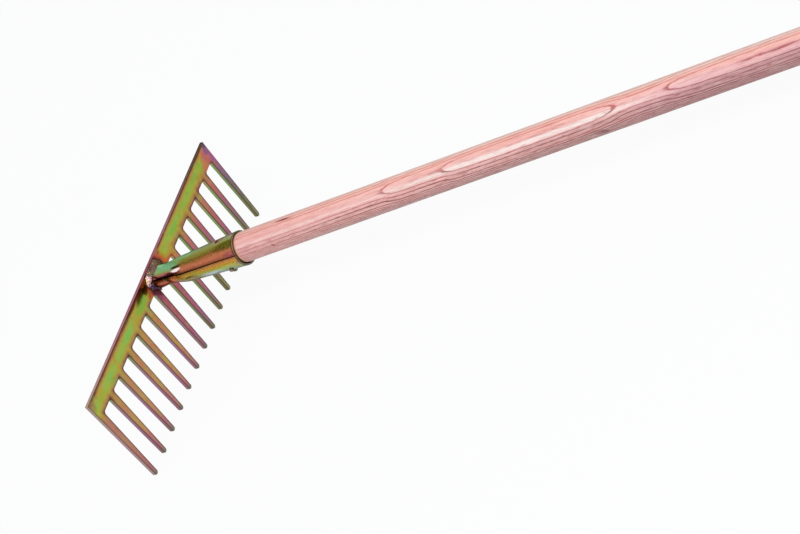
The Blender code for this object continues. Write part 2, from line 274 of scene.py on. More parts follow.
def mesh_from(shape, name, turn_out=True):
    """A mesh of the shape, with its faces turned to the outside."""
    if turn_out:
        bmesh.ops.recalc_face_normals(shape, faces=shape.faces)
    mesh = bpy.data.meshes.new(name)
    shape.to_mesh(mesh)
    shape.free()
    return mesh


def rolled_shape(columns, rows, place_point):
    """A flat grid whose points are moved by a function of their shares across and along."""
    shape = bmesh.new()
    bmesh.ops.create_grid(shape, x_segments=columns, y_segments=rows, size=0.5)
    for vertex in shape.verts:
        vertex.co = place_point(vertex.co.x + 0.5, vertex.co.y + 0.5)
    bmesh.ops.remove_doubles(shape, verts=shape.verts, dist=MERGE_DISTANCE)
    return shape


def turned_mesh(name, profile, segments):
    """A chain of radius and height pairs spun about Z, closed where the radius is zero."""
    shape = bmesh.new()
    chain = [shape.verts.new((radius, 0.0, height)) for radius, height in profile]
    edges = [shape.edges.new(pair) for pair in zip(chain, chain[1:])]
    bmesh.ops.spin(
        shape, geom=chain + edges, cent=(0, 0, 0), axis=(0, 0, 1), angle=2 * math.pi,
        steps=segments, use_merge=True,
    )
    bmesh.ops.remove_doubles(shape, verts=shape.verts, dist=MERGE_DISTANCE)
    return mesh_from(shape, name)


def box_cutter(name, low, high, placed):
    shape = bmesh.new()
    bmesh.ops.create_cube(shape, size=1.0)
    for vertex in shape.verts:
        for axis in range(3):
            vertex.co[axis] = high[axis] if vertex.co[axis] > 0 else low[axis]
    return add_piece(name, mesh_from(shape, name), placed)


def drill(name, low, high, placed):
    """A round cutter as wide as the hole for a screw, along Z of its frame."""
    profile = [(0.0, high), (HOLE_RADIUS, high), (HOLE_RADIUS, low), (0.0, low)]
    return add_piece(name, turned_mesh(name, profile, DRILL_SEGMENTS), placed)


def roll_edges(piece, width, segments):
    """Rounds every edge of more than 60 degrees."""
    rolled = piece.modifiers.new("Rolled edges", "BEVEL")
    rolled.width = width
    rolled.segments = segments
    rolled.limit_method = "ANGLE"
    rolled.angle_limit = math.radians(60.0)


def settle(piece, cutters=(), sharp_above=35.0):
    """Cuts a piece, applies its modifiers and shades it round."""
    for cutter in cutters:
        boolean = piece.modifiers.new(cutter.name, "BOOLEAN")
        boolean.operation = "DIFFERENCE"
        boolean.object = cutter
    bpy.context.view_layer.update()
    evaluated = piece.evaluated_get(bpy.context.evaluated_depsgraph_get())
    piece.data = bpy.data.meshes.new_from_object(evaluated)
    piece.modifiers.clear()
    for cutter in cutters:
        bpy.data.objects.remove(cutter, do_unlink=True)
    piece.data.shade_smooth()
    piece.data.set_sharp_from_angle(angle=math.radians(sharp_above))
    return piece


def finish_piece(piece, material, node):
    piece.data.materials.clear()
    piece.data.materials.append(material)
    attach(piece, "root")
    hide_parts(node)


# Comb


def comb_outline():
    """Teeth, slots and the straight top edge, in the comb's own plane."""
    tip_radius = TOOTH_TIP_WIDTH / 2
    tip_y = tip_radius - TIP_BELOW_AXIS
    corner = SLOT_CORNER_RADIUS
    points = [(-COMB_HALF_WIDTH, AXIS_BELOW_TOP_EDGE)]
    for index in range(TOOTH_COUNT):
        centre = (index - (TOOTH_COUNT - 1) / 2) * TOOTH_PITCH
        left = centre - TOOTH_ROOT_WIDTH / 2
        right = centre + TOOTH_ROOT_WIDTH / 2
        if index > 0:
            points += arc(left - corner, WEB_EDGE - corner, corner, 90, 0, CORNER_SEGMENTS)
        points += arc(centre, tip_y, tip_radius, 180, 360, TIP_SEGMENTS)
        if index < TOOTH_COUNT - 1:
            points += arc(right + corner, WEB_EDGE - corner, corner, 180, 90, CORNER_SEGMENTS)
    points.append((COMB_HALF_WIDTH, AXIS_BELOW_TOP_EDGE))
    return points


def make_comb():
    """The outline extruded to the plate's thickness, with its stamped edges rolled over."""
    shape = bmesh.new()
    loop = [shape.verts.new((x, y, -PLATE_THICKNESS)) for x, y in comb_outline()]
    face = shape.faces.new(loop)
    raised = bmesh.ops.extrude_face_region(shape, geom=[face], use_keep_orig=True)
    top = [part for part in raised["geom"] if isinstance(part, bmesh.types.BMVert)]
    bmesh.ops.translate(shape, verts=top, vec=(0.0, 0.0, PLATE_THICKNESS))
    comb = add_piece("dressed_comb", mesh_from(shape, "dressed_comb"), COMB_FRAME)
    roll_edges(comb, COMB_EDGE_ROUND, 3)
    return settle(comb, sharp_above=25.0)


# Socket


def socket_radius(distance):
    """Outer radius of the socket at a distance from the comb."""
    if distance < WAIST_DISTANCE:
        return between(FOOT_RADIUS, WAIST_RADIUS, blend(0.0, WAIST_DISTANCE, distance))
    if distance < SHOULDER_DISTANCE:
        return between(WAIST_RADIUS, SHOULDER_RADIUS, blend(WAIST_DISTANCE, SHOULDER_DISTANCE, distance))
    return SHOULDER_RADIUS + CONE_SLOPE * (distance - SHOULDER_DISTANCE)


def across_and_up(radius, angle, distance):
    """A point at a radius and an angle round the socket, whose centre lies above the handle's axis
    at the neck and a little below it at the mouth."""
    rise = between(NECK_LIFT, -SOCKET_DROP, blend(0.0, SHOULDER_DISTANCE, distance))
    return -radius * math.sin(angle), radius * math.cos(angle) + rise


def on_socket(angle, distance):
    """Frame on the outside of the sheet, its Z pointing straight out."""
    place = Matrix.Translation((*across_and_up(socket_radius(distance), angle, distance), distance))
    return HANDLE_FRAME @ place @ Euler((-math.pi / 2, 0.0, angle)).to_matrix().to_4x4()


SCREW_FRAME = on_socket(math.radians(SCREW_DEGREES), SOCKET_LENGTH - SCREW_FROM_MOUTH)
SPARE_HOLE_FRAME = on_socket(math.radians(SPARE_HOLE_DEGREES), SOCKET_LENGTH - SPARE_HOLE_FROM_MOUTH)


def pressed_in(distance, above, below):
    """How far the sheet lies inside its round form, at degrees above and below the seam."""
    fold = blend(0.0, FOLD_START, distance) * (1.0 - blend(FOLD_END - FOLD_FADE, FOLD_END, distance))
    fold *= FOLD_DEPTH * (1.0 - blend(FOLD_DEGREES / 3, FOLD_DEGREES, above))
    dent = blend(DENT_START, DENT_DEEP[0], distance) * (1.0 - blend(DENT_DEEP[1], DENT_END, distance))
    dent *= DENT_DEPTH * (1.0 - blend(DENT_TO_DEGREES, DENT_TO_DEGREES + DENT_EDGE_DEGREES, above))
    dent *= blend(DENT_FROM_DEGREES, DENT_TO_DEGREES, above)
    lobe = LOBE_HEIGHT * bell(distance, LOBE_DISTANCE, LOBE_SPREAD)
    lobe *= bell(below, LOBE_DEGREES, LOBE_SPREAD_DEGREES)
    crease = CREASE_DEPTH * bell(distance - CREASE_SLANT * below, CREASE_DISTANCE, CREASE_SPREAD)
    crease *= bell(below, CREASE_DEGREES, LOBE_SPREAD_DEGREES)
    flutes = FLUTE_DEPTH * blend(*FLUTE_START, distance) * (1.0 - blend(*FLUTE_END, distance))
    flutes *= math.cos(math.radians(below) * FLUTES_ROUND)
    flutes *= bell(below, LOBE_DEGREES, FLUTE_SPREAD_DEGREES)
    return fold + dent - lobe + crease + flutes


def hole_dish(distance, angle):
    """How far the sheet dips round the spare hole."""
    around = socket_radius(distance) * (angle - math.radians(SPARE_HOLE_DEGREES) - 2 * math.pi)
    along = distance - SOCKET_LENGTH + SPARE_HOLE_FROM_MOUTH
    return HOLE_DISH_DEPTH * bell(math.hypot(along, around), 0.0, HOLE_DISH_SPREAD)


def sheet_point(share, along):
    """A point on the outside of the rolled sheet; share runs round from lip to lip of the seam.
    The lips lie over each other in the neck, and the sheet ends flush with the comb."""
    distance = SOCKET_LENGTH * along
    radius = socket_radius(distance)
    gap = between(SEAM_GAP_AT_NECK, SEAM_GAP_AT_MOUTH, blend(SHOULDER_DISTANCE, SOCKET_LENGTH, distance))
    closed = blend(*LIPS_CLOSE, distance) * (1.0 - blend(*LIPS_OPEN, distance))
    below = gap / (2 * radius)
    above = below - closed * (gap + LIP_OVERLAP) / radius
    sweep = 2 * math.pi - below - above
    angle = math.radians(SEAM_DEGREES) + below + sweep * share
    radius -= pressed_in(distance, math.degrees(sweep * (1.0 - share)), math.degrees(sweep * share))
    radius -= hole_dish(distance, angle)
    x, y = across_and_up(radius, angle, distance)
    flush = max(0.0, 1.0 - distance / SHOULDER_DISTANCE)
    return (x, y, distance + flush * (CLEARANCE + y * math.tan(LEAN)))


def make_socket():
    sheet = mesh_from(rolled_shape(SHEET_COLUMNS, SHEET_ROWS, sheet_point), "dressed_socket", turn_out=False)
    socket = add_piece("dressed_socket", sheet, HANDLE_FRAME)
    thick = socket.modifiers.new("Sheet", "SOLIDIFY")
    thick.thickness = SHEET_THICKNESS
    thick.offset = -1.0
    thick.use_even_offset = True
    roll_edges(socket, SHEET_EDGE_ROUND, 2)
    low = -SHEET_THICKNESS - OVERRUN
    screw_hole = drill("screw_hole", low, OVERRUN, SCREW_FRAME)
    spare_hole = drill("spare_hole", low, OVERRUN, SPARE_HOLE_FRAME)
    return settle(socket, [screw_hole, spare_hole])


# Weld


def uneven(angle, size, aside, share=0.0):
    """Uneven values round the foot, from about -1 to 1; a larger size makes finer ones."""
    return noise.noise(Vector((math.cos(angle) * size + aside, math.sin(angle) * size, share)))


def weld_legs(angle):
    """How far the bead reaches over the comb and along the socket, at an angle round the foot. It
    is low under the neck, has a run beside the seam, and stops short of the comb's top edge."""
    degrees = math.degrees(angle)
    low = abs(degrees)
    on_comb = between(WELD_ON_COMB, WELD_ON_COMB_UNDER, blend(*THIN_ON_COMB, low))
    on_comb += WELD_RUN * blend(0.0, 1.0, 1.0 - abs(degrees - WELD_RUN_DEGREES) / WELD_RUN_SPREAD_DEGREES)
    on_comb *= 1.0 + UNEVEN_ON_COMB * uneven(angle, 5.0, 5.0, 1.0)
    if math.cos(angle) > 0.0:
        to_edge = (AXIS_BELOW_TOP_EDGE - COMB_EDGE_ROUND) * math.cos(LEAN) - NECK_LIFT
        on_comb = min(on_comb, to_edge / math.cos(angle) - FOOT_RADIUS)
    down_neck = blend(*(THIN_BY_SEAM if angle > 0.0 else THIN_OFF_SEAM), low)
    on_socket = between(WELD_ON_SOCKET, WELD_ON_SOCKET_UNDER, down_neck)
    return on_comb, on_socket * (1.0 + UNEVEN_ON_SOCKET * uneven(angle, 3.0, 0.0))


def weld_point(around, section):
    """A point on the bead: round the foot of the socket, and once round its own section, which is
    its face, a flat side under that, and hidden sides that run a little into comb and socket."""
    angle = 2 * math.pi * around - math.pi
    over_comb, up_neck = weld_legs(angle)
    row = round(section * WELD_ROWS)
    crown = 0.0
    if row < WELD_FACE_ROWS:
        share = section * WELD_ROWS / WELD_FACE_ROWS
        turn = angle * (FOOT_RADIUS + WELD_ON_COMB / 2) / RIPPLE_SPACING - RIPPLE_BOW * (share - 0.5) ** 2
        ripple = RIPPLE_HEIGHT * abs(math.sin(turn * math.pi))
        pits = WELD_PITS * uneven(angle, 9.0, 0.0, share * 3.0)
        crown = (WELD_CROWN + ripple + pits) * math.sin(math.pi * share)
        out, height = over_comb * share, up_neck * (1.0 - share)
    else:
        sunk = -WELD_RUN_IN
        top = (0.0, up_neck)
        out, height = (top, (over_comb, sunk), (sunk, sunk), (sunk, up_neck), top)[row - WELD_FACE_ROWS]
    slant = math.hypot(over_comb, up_neck)
    radius = socket_radius(max(height, 0.0)) + out + crown * up_neck / slant
    height += crown * over_comb / slant
    x, y = across_and_up(radius, angle, max(height, 0.0))
    return (x, y, height + y * math.tan(LEAN) * max(0.0, 1.0 - height / SHOULDER_DISTANCE))


def make_weld():
    """The rippled fillet, trimmed over the middle slot."""
    mesh = mesh_from(rolled_shape(WELD_COLUMNS, WELD_ROWS, weld_point), "dressed_weld")
    weld = add_piece("dressed_weld", mesh, HANDLE_FRAME)
    slot_half = (TOOTH_PITCH - TOOTH_ROOT_WIDTH) / 2
    low = (-slot_half, -FOOT_RADIUS - WELD_ON_COMB - OVERRUN, -OVERRUN)
    high = (slot_half, WEB_EDGE, WELD_ON_SOCKET + OVERRUN)
    return settle(weld, [box_cutter("over_slot", low, high, COMB_FRAME)], 50.0)


# Handle


def handle_profile():
    """From the rounded end of the handle along its outer side to the turned cone in the socket."""
    points = [(0.0, BUTT_END)]
    points += arc(BUTT_RADIUS - BUTT_ROUND, BUTT_END - BUTT_ROUND, BUTT_ROUND, 90, 0, BUTT_SEGMENTS)
    radius, height = points[-1]
    for ring in range(1, HANDLE_RINGS + 1):
        share = ring / HANDLE_RINGS
        points.append((between(radius, HANDLE_RADIUS, share), between(height, CONE_START, share)))
    tip_radius = HANDLE_RADIUS - CONE_SLOPE * (CONE_START - CONE_TIP)
    points.append((tip_radius, CONE_TIP + CONE_TIP_ROUND))
    points.append((tip_radius - CONE_TIP_ROUND, CONE_TIP))
    points.append((0.0, CONE_TIP))
    return points


def make_handle():
    mesh = turned_mesh("dressed_handle", handle_profile(), HANDLE_SEGMENTS)
    handle = add_piece("dressed_handle", mesh, HANDLE_FRAME)
    pilot = drill("pilot_hole", -SCREW_SHANK_LENGTH - CLEARANCE, OVERRUN, SCREW_FRAME)
    return settle(handle, [pilot], 30.0)


# Screw


def screw_profile():
    """Domed head, threaded shank and point."""
    head = SCREW_HEAD_DIAMETER / 2
    shank = SCREW_SHANK_DIAMETER / 2
    points = [(0.0, CLEARANCE + SCREW_HEAD_HEIGHT)]
    for step in range(1, DOME_SEGMENTS + 1):
        angle = math.radians(90.0 - 90.0 * step / DOME_SEGMENTS)
        dome = (SCREW_HEAD_HEIGHT - SCREW_HEAD_RIM) * math.sin(angle)
        points.append((head * math.cos(angle), CLEARANCE + SCREW_HEAD_RIM + dome))
    points.append((head - SCREW_HEAD_UNDERCUT, CLEARANCE))
    points.append((shank, CLEARANCE))
    straight_end = SCREW_POINT_LENGTH - SCREW_SHANK_LENGTH
    for turn in range(int((-SHEET_THICKNESS - straight_end) / THREAD_PITCH)):
        height = -SHEET_THICKNESS - turn * THREAD_PITCH
        points.append((shank, height))
        points.append((shank * THREAD_ROOT_SHARE, height - THREAD_PITCH / 2))
    points.append((shank, straight_end))
    points.append((0.0, -SCREW_SHANK_LENGTH))
    return points


def make_screw():
    """The screw, with a cross recess in its head."""
    mesh = turned_mesh("dressed_screw", screw_profile(), SCREW_SEGMENTS)
    screw = add_piece("dressed_screw", mesh, SCREW_FRAME)
    top = CLEARANCE + SCREW_HEAD_HEIGHT
    halves = (RECESS_LENGTH / 2, RECESS_WIDTH / 2)
    cutters = []
    for name, (x, y) in (("recess_a", halves), ("recess_b", halves[::-1])):
        low = (-x, -y, top - RECESS_DEPTH)
        cutters.append(box_cutter(name, low, (x, y, top + RECESS_DEPTH), SCREW_FRAME))
    return settle(screw, cutters, 40.0)


# Shader helpers


def linear(seen):
    """A shader's colour for red, green and blue from 0 to 255, as they are seen on a screen."""
    shares = [part / 255.0 for part in seen]
    parts = [share / 12.92 if share <= 0.04045 else ((share + 0.055) / 1.055) ** 2.4 for share in shares]
    return (*parts, 1.0)


class Value:
    """What a node puts out. Numbers and other values can be added to it, taken from it and so on,
    and it can be turned into steps, curves and colours."""

    def __init__(self, graph, socket):
        self.graph = graph
        self.socket = socket

    def __add__(self, other):
        return self.graph.math("ADD", self, other)

    def __sub__(self, other):
        return self.graph.math("SUBTRACT", self, other)

    def __rsub__(self, other):
        return self.graph.math("SUBTRACT", other, self)

    def __mul__(self, other):
        return self.graph.math("MULTIPLY", self, other)

    def __truediv__(self, other):
        return self.graph.math("DIVIDE", self, other)

    def __abs__(self):
        return self.graph.math("ABSOLUTE", self)

    def ease(self, low, high, to_low=0.0, to_high=1.0, interpolation_type="SMOOTHSTEP"):
        """Smooth step between two of its values, level outside them."""
        return self.graph.filled(
            "ShaderNodeMapRange", (self, low, high, to_low, to_high), range(5),
            interpolation_type=interpolation_type,
        )

    def slope(self, low, high, to_low=0.0, to_high=1.0):
        """Straight line between two of its values, level outside them."""
        return self.ease(low, high, to_low, to_high, "LINEAR")

    def curve(self, points):
        """A smooth curve through points from 0 to 1 both ways."""
        node = self.graph.add("ShaderNodeFloatCurve")
        line = node.mapping.curves[0].points
        for index, (x, y) in enumerate(points):
            point = line[index] if index < 2 else line.new(x, y)
            point.location = (x, y)
        node.mapping.update()
        self.graph.feed(node.inputs["Value"], self)
        return Value(self.graph, node.outputs[0])

    def ramp(self, stops):
        """Colours that pass into each other at shares from 0 to 1."""
        node = self.graph.add("ShaderNodeValToRGB")
        elements = node.color_ramp.elements
        while len(elements) < len(stops):
            elements.new(0.5)
        for element, (position, seen) in zip(elements, stops):
            element.position = position
            element.color = linear(seen)
        self.graph.feed(node.inputs[0], self)
        return Value(self.graph, node.outputs[0])

    def wheel(self, stops):
        """Colours that pass into each other at degrees from -180 to 180."""
        return self.slope(-180.0, 180.0).ramp([((at + 180) / 360, seen) for at, seen in stops])


class Graph:
    """Adds nodes to one node tree. What feeds a node may be a number, another node's value, or a
    colour as red, green and blue from 0 to 255."""

    def __init__(self, tree):
        self.tree = tree

    def add(self, kind, **settings):
        node = self.tree.nodes.new(kind)
        for name, value in settings.items():
            setattr(node, name, value)
        return node

    def feed(self, socket, value):
        if isinstance(value, Value):
            self.tree.links.new(value.socket, socket)
        else:
            seen = isinstance(value, tuple) and len(value) == 3
            socket.default_value = linear(value) if seen else value

    def values(self, node):
        """A node's outputs by name."""
        return {socket.name: Value(self, socket) for socket in node.outputs}

    def filled(self, kind, values, places, output=0, **settings):
        """The value of a new node whose inputs are fed at these places."""
        node = self.add(kind, **settings)
        for place, value in zip(places, values):
            self.feed(node.inputs[place], value)
        return Value(self, node.outputs[output])

    def math(self, operation, *values, clamp=False):
        return self.filled("ShaderNodeMath", values, (0, 1), operation=operation, use_clamp=clamp)

    def most(self, first, second):
        return self.math("MAXIMUM", first, second)

    def least(self, first, second):
        return self.math("MINIMUM", first, second)

    def span(self, across, up):
        """Straight distance from its two parts."""
        return self.math("SQRT", self.math("POWER", across, 2.0) + self.math("POWER", up, 2.0))

    def degrees(self, x, up):
        """Degrees round the handle, from its upper side towards -X."""
        return self.math("ARCTAN2", x * -1.0, up) * (180.0 / math.pi)

    def lerp(self, share, first, second):
        """From the first number to the second."""
        return self.filled("ShaderNodeMix", (share, first, second), (0, 2, 3), data_type="FLOAT")

    def mix(self, share, first, second):
        """From the first colour to the second."""
        return self.filled("ShaderNodeMix", (share, first, second), (0, 6, 7), 2, data_type="RGBA")

    def lay(self, color, layers):
        """Lays colours over a first one, each by its own mask."""
        for mask, seen in layers:
            color = self.mix(mask, color, seen)
        return color

    def noise(self, vector, scale, detail=3.0, roughness=0.5, distortion=0.0):
        """Clouds from 0 to 1, so many to a metre, or so many along each of the three axes."""
        if isinstance(scale, tuple):
            stretch = self.add("ShaderNodeVectorMath", operation="MULTIPLY")
            self.feed(stretch.inputs[0], vector)
            stretch.inputs[1].default_value = scale
            vector = Value(self, stretch.outputs[0])
            scale = 1.0
        values = (vector, scale, detail, roughness, distortion)
        names = ("Vector", "Scale", "Detail", "Roughness", "Distortion")
        return self.filled("ShaderNodeTexNoise", values, names, "Fac")

    def drawn(self, number):
        """A value from 0 to 1 that each whole number draws for itself."""
        whole = self.math("FLOOR", number)
        return self.filled("ShaderNodeTexWhiteNoise", [whole], ["W"], "Value", noise_dimensions="1D")

    def split(self, vector):
        parts = self.add("ShaderNodeSeparateXYZ")
        self.feed(parts.inputs[0], vector)
        return list(self.values(parts).values())

    def place(self):
        """Object coordinates, and their three parts."""
        vector = self.values(self.add("ShaderNodeTexCoord"))["Object"]
        return vector, self.split(vector)

    def facing(self):
        """The three parts of the surface's own direction."""
        return self.split(self.values(self.add("ShaderNodeTexCoord"))["Normal"])


def new_group(name, inputs, outputs):
    """An empty shader group. Its inputs have a number to start from, or none for a vector."""
    tree = bpy.data.node_groups.new(name, "ShaderNodeTree")
    for socket_name, start in inputs.items():
        kind = "NodeSocketVector" if start is None else "NodeSocketFloat"
        socket = tree.interface.new_socket(name=socket_name, in_out="INPUT", socket_type=kind)
        if start is not None:
            socket.default_value = start
    for socket_name in outputs:
        tree.interface.new_socket(name=socket_name, in_out="OUTPUT", socket_type="NodeSocketFloat")
    graph = Graph(tree)
    return tree, graph, graph.values(graph.add("NodeGroupInput")), graph.add("NodeGroupOutput").inputs


def use_group(graph, tree, **values):
    """Places a group in a material; underscores in the names stand for spaces."""
    node = graph.add("ShaderNodeGroup", node_tree=tree)
    for name, value in values.items():
        graph.feed(node.inputs[name.replace("_", " ")], value)
    return graph.values(node)


# Shared effects


def plate_skin_group():
    """Fine unevenness of plated steel: roughness and a height for the bump."""
    tree, graph, inputs, outputs = new_group(
        "Plated skin", {"Vector": None, "Roughness": 0.32, "Unevenness": 0.12}, ["Roughness", "Height"],
    )
    grain = graph.noise(inputs["Vector"], 900.0, 4.0, 0.65)
    waves = graph.noise(inputs["Vector"], 160.0, 3.0, 0.5)
    shift = (waves - 0.5) * inputs["Unevenness"]
    graph.feed(outputs["Roughness"], graph.math("ADD", inputs["Roughness"], shift, clamp=True))
    graph.feed(outputs["Height"], grain * 0.35 + waves * 0.65)
    return tree


def soft_mark_group():
    """Mask of one soft slanting oval, placed by two coordinates of the surface."""
    start = {"Along": 0.0, "Around": 0.0, "Middle along": 0.0, "Middle around": 0.0}
    start.update({"Half length": 1.0, "Half width": 1.0, "Slant": 0.0})
    tree, graph, inputs, outputs = new_group("Soft mark", start, ["Mask"])
    along = inputs["Along"] - inputs["Middle along"]
    around = inputs["Around"] - inputs["Middle around"] - along * inputs["Slant"]
    along = graph.math("POWER", along / inputs["Half length"], 2.0)
    around = graph.math("POWER", around / inputs["Half width"], 2.0)
    graph.feed(outputs["Mask"], (along + around).ease(0.35, 1.5, 1.0, 0.0))
    return tree


PLATED_SKIN = plate_skin_group()
SOFT_MARK = soft_mark_group()


def paint_marks(graph, color, along, around, marks):
    """Lays soft marks over a colour: middle, half sizes, slant, strength and the colour of each."""
    layers = []
    for middle_along, middle_around, half_length, half_width, slant, strength, seen in marks:
        mask = use_group(
            graph, SOFT_MARK, Along=along, Around=around, Middle_along=middle_along,
            Middle_around=middle_around, Half_length=half_length, Half_width=half_width, Slant=slant,
        )["Mask"]
        layers.append((mask * strength, seen))
    return graph.lay(color, layers)


def new_material(name, metallic):
    material = bpy.data.materials.new(name)
    material.use_nodes = True
    shader = material.node_tree.nodes["Principled BSDF"]
    shader.inputs["Metallic"].default_value = metallic
    return material, Graph(material.node_tree), shader


def feed_shader(graph, shader, color, roughness, height, bump_distance):
    """Feeds a material's shader with its colour, its roughness and its bump."""
    bump = graph.add("ShaderNodeBump")
    bump.inputs["Strength"].default_value = 0.5
    bump.inputs["Distance"].default_value = bump_distance
    graph.feed(bump.inputs["Height"], height)
    graph.feed(shader.inputs["Base Color"], color)
    graph.feed(shader.inputs["Roughness"], roughness)
    graph.feed(shader.inputs["Normal"], graph.values(bump)["Normal"])


def coat_with_film(graph, shader, color, vector, roughness, unevenness, bump_distance):
    """Finishes plated steel, whose skin is a little uneven."""
    shader.inputs["Specular Tint"].default_value = FILM_GLANCE
    skin = use_group(graph, PLATED_SKIN, Vector=vector, Roughness=roughness, Unevenness=unevenness)
    feed_shader(graph, shader, color, skin["Roughness"], skin["Height"], bump_distance)


# Materials

# Tint of plated steel at a flat glance
FILM_GLANCE = (0.30, 0.28, 0.26, 1.0)

# How much of a direction counts as facing that way, from not at all to fully
FACING = (0.5, 0.9)

# Zones of the comb, from the first number to the second: across it from its middle, up it from the
# handle's axis, out of its slots, in from its outline, below its top edge and behind its front face
HIGH_HALF = (0.0, 0.06)
ROUND_MIDDLE = (-0.03, 0.03)
MIDDLE_TEETH_BEGIN = (-0.040, -0.015)
MIDDLE_TEETH_END = (0.015, 0.050)
LOW_TO_HIGH_TEETH = (-0.01, 0.05)
LOW_TO_HIGH_WALLS = (-0.035, 0.02)
FIRST_TOOTH = (-0.158, -0.145)
FIRST_WALL = (-0.168, -0.160)
LAST_TOOTH_BEGIN = (0.145, 0.158)
VIOLET_EDGES = (0.02, 0.10)
ROOTS = (WEB_EDGE - 0.012, WEB_EDGE + 0.001)
WORN_TIPS = (0.0058 - TIP_BELOW_AXIS, 0.0026 - TIP_BELOW_AXIS)
OUT_OF_SLOT = (0.003, 0.011)
DARK_OUTLINE = (0.0001, 0.0021)
CALM_TOP = (0.0, 0.006)
BACK_TO_FRONT = (-0.0030, -0.0008)
FRONT_CORNER = (-0.0007, -0.0002)
BACK_CORNER = (0.0002 - PLATE_THICKNESS, 0.0007 - PLATE_THICKNESS)

# Zones of heat round the weld, outwards from the middle of the foot, and down the web
HEAT_TINT = (0.0225, 0.0320)
HEAT_RINGS = (0.016, 0.032)
SCORCH = (0.0162, 0.0196)
HEAT_BELOW = (-0.009, -0.003)

# Colours of the film across the comb's web, from the slots up to the top edge
WEB_COLORS = [
    (0, (144, 92, 74)), (0.06, (160, 110, 84)), (0.12, (170, 130, 84)), (0.2, (178, 148, 80)),
    (0.29, (176, 168, 74)), (0.38, (166, 178, 74)), (0.48, (154, 184, 78)), (0.6, (152, 184, 82)),
    (0.72, (166, 174, 74)), (0.81, (180, 146, 70)), (0.88, (154, 100, 70)), (0.94, (114, 64, 58)),
    (1, (82, 44, 50)),
]

# Colours down the teeth from root to tip: the teeth on the -X side, in the middle, on the +X side,
# and the last one
LOW_TEETH = [
    (0, (182, 146, 84)), (0.12, (188, 136, 94)), (0.28, (188, 138, 104)), (0.42, (186, 160, 98)),
    (0.53, (192, 150, 104)), (0.64, (192, 134, 114)), (0.76, (186, 122, 130)), (0.9, (166, 110, 132)),
    (1, (138, 126, 126)),
]
MIDDLE_TEETH = [
    (0, (162, 84, 106)), (0.25, (170, 94, 112)), (0.5, (176, 102, 128)), (0.75, (162, 104, 142)),
    (0.9, (146, 112, 132)), (1, (130, 128, 114)),
]
HIGH_TEETH = [
    (0, (190, 126, 104)), (0.18, (182, 112, 108)), (0.36, (174, 108, 124)), (0.52, (164, 110, 130)),
    (0.66, (148, 112, 126)), (0.78, (138, 122, 118)), (0.9, (138, 138, 100)), (1, (142, 148, 104)),
]
LAST_TOOTH = [
    (0, (166, 98, 142)), (0.25, (150, 104, 134)), (0.42, (124, 114, 132)), (0.6, (118, 112, 110)),
    (0.85, (122, 126, 98)), (1, (136, 146, 106)),
]

# Colours down the walls of the slots, and along the comb's top side
LOW_WALLS = [
    (0, (144, 156, 120)), (0.16, (162, 138, 144)), (0.35, (168, 130, 154)), (0.6, (166, 118, 148)),
    (0.85, (158, 116, 132)), (1, (142, 118, 118)),
]
HIGH_WALLS = [
    (0, (168, 152, 110)), (0.15, (136, 160, 96)), (0.45, (132, 150, 94)), (0.7, (128, 138, 94)),
    (1, (118, 116, 82)),
]
TOP_SIDE = [
    (0.00, (176, 158, 142)), (0.12, (178, 136, 136)), (0.35, (168, 108, 124)), (0.50, (140, 84, 102)),
    (0.62, (154, 108, 118)), (0.80, (120, 92, 92)), (0.92, (96, 82, 70)), (1.00, (88, 80, 66)),
]

# Colours of the comb's film round the weld, from the bead outwards
HEAT_COLORS = [
    (0, (110, 50, 60)), (0.18, (160, 70, 62)), (0.32, (196, 96, 64)), (0.48, (188, 124, 58)),
    (0.66, (176, 150, 54)), (1, (164, 164, 60)),
]

# Marks on the comb's face: millimetres along the comb, millimetres above the axis, half sizes,
# slant, strength and colour
COMB_MARKS = [
    (30, -3.4, 9, 2.6, -0.2, 0.75, (190, 92, 62)),
    (21, 13, 4, 2.6, 0, 0.7, (150, 88, 74)),
    (-50, 14.6, 22, 2.2, 0.03, 0.85, (92, 52, 34)),
    (-31, 11.4, 14, 4, 0.13, 0.88, (60, 38, 18)),
    (-24, 9.4, 6, 4.4, 0.1, 0.9, (50, 36, 16)),
    (-22.5, 13.6, 3.6, 1.8, 0.1, 0.9, (196, 106, 44)),
    (-17, 12, 2.6, 3, 0, 0.85, (176, 132, 44)),
    (-22, 1.5, 4.5, 3, 0.3, 0.85, (162, 96, 62)),
    (-16.5, -2, 4, 5, 0, 0.8, (108, 52, 64)),
    (-14, -9, 5, 6, 0, 0.75, (132, 66, 108)),
    (-40, 5, 12, 5, 0, 0.55, (124, 176, 66)),
    (-77, 6, 9, 3.4, 0, 0.6, (118, 192, 96)),
    (-128, 6, 8, 3, 0, 0.5, (122, 190, 92)),
    (-104, 4, 6, 2.4, 0, 0.45, (132, 184, 80)),
    (-150, 6.5, 10, 3, 0, 0.5, (164, 168, 60)),
    (60, 7, 9, 3.4, 0, 0.5, (116, 182, 72)),
    (88, 9, 7, 2.6, 0, 0.4, (130, 178, 76)),
    (126, 8.5, 9, 2.6, 0, 0.45, (124, 178, 92)),
    (155, 4, 9, 9, 0.5, 0.85, (202, 124, 92)),
    (161, 5, 6, 9, 0, 0.75, (192, 104, 112)),
    (168, 8, 6, 6, 0, 0.9, (142, 92, 140)),
    (170, 14.5, 6, 4, 0, 0.8, (100, 78, 102)),
    (170, -2, 6, 8, 0, 0.85, (166, 90, 142)),
    (-168, 11, 6, 6, 0, 0.6, (150, 120, 84)),
]


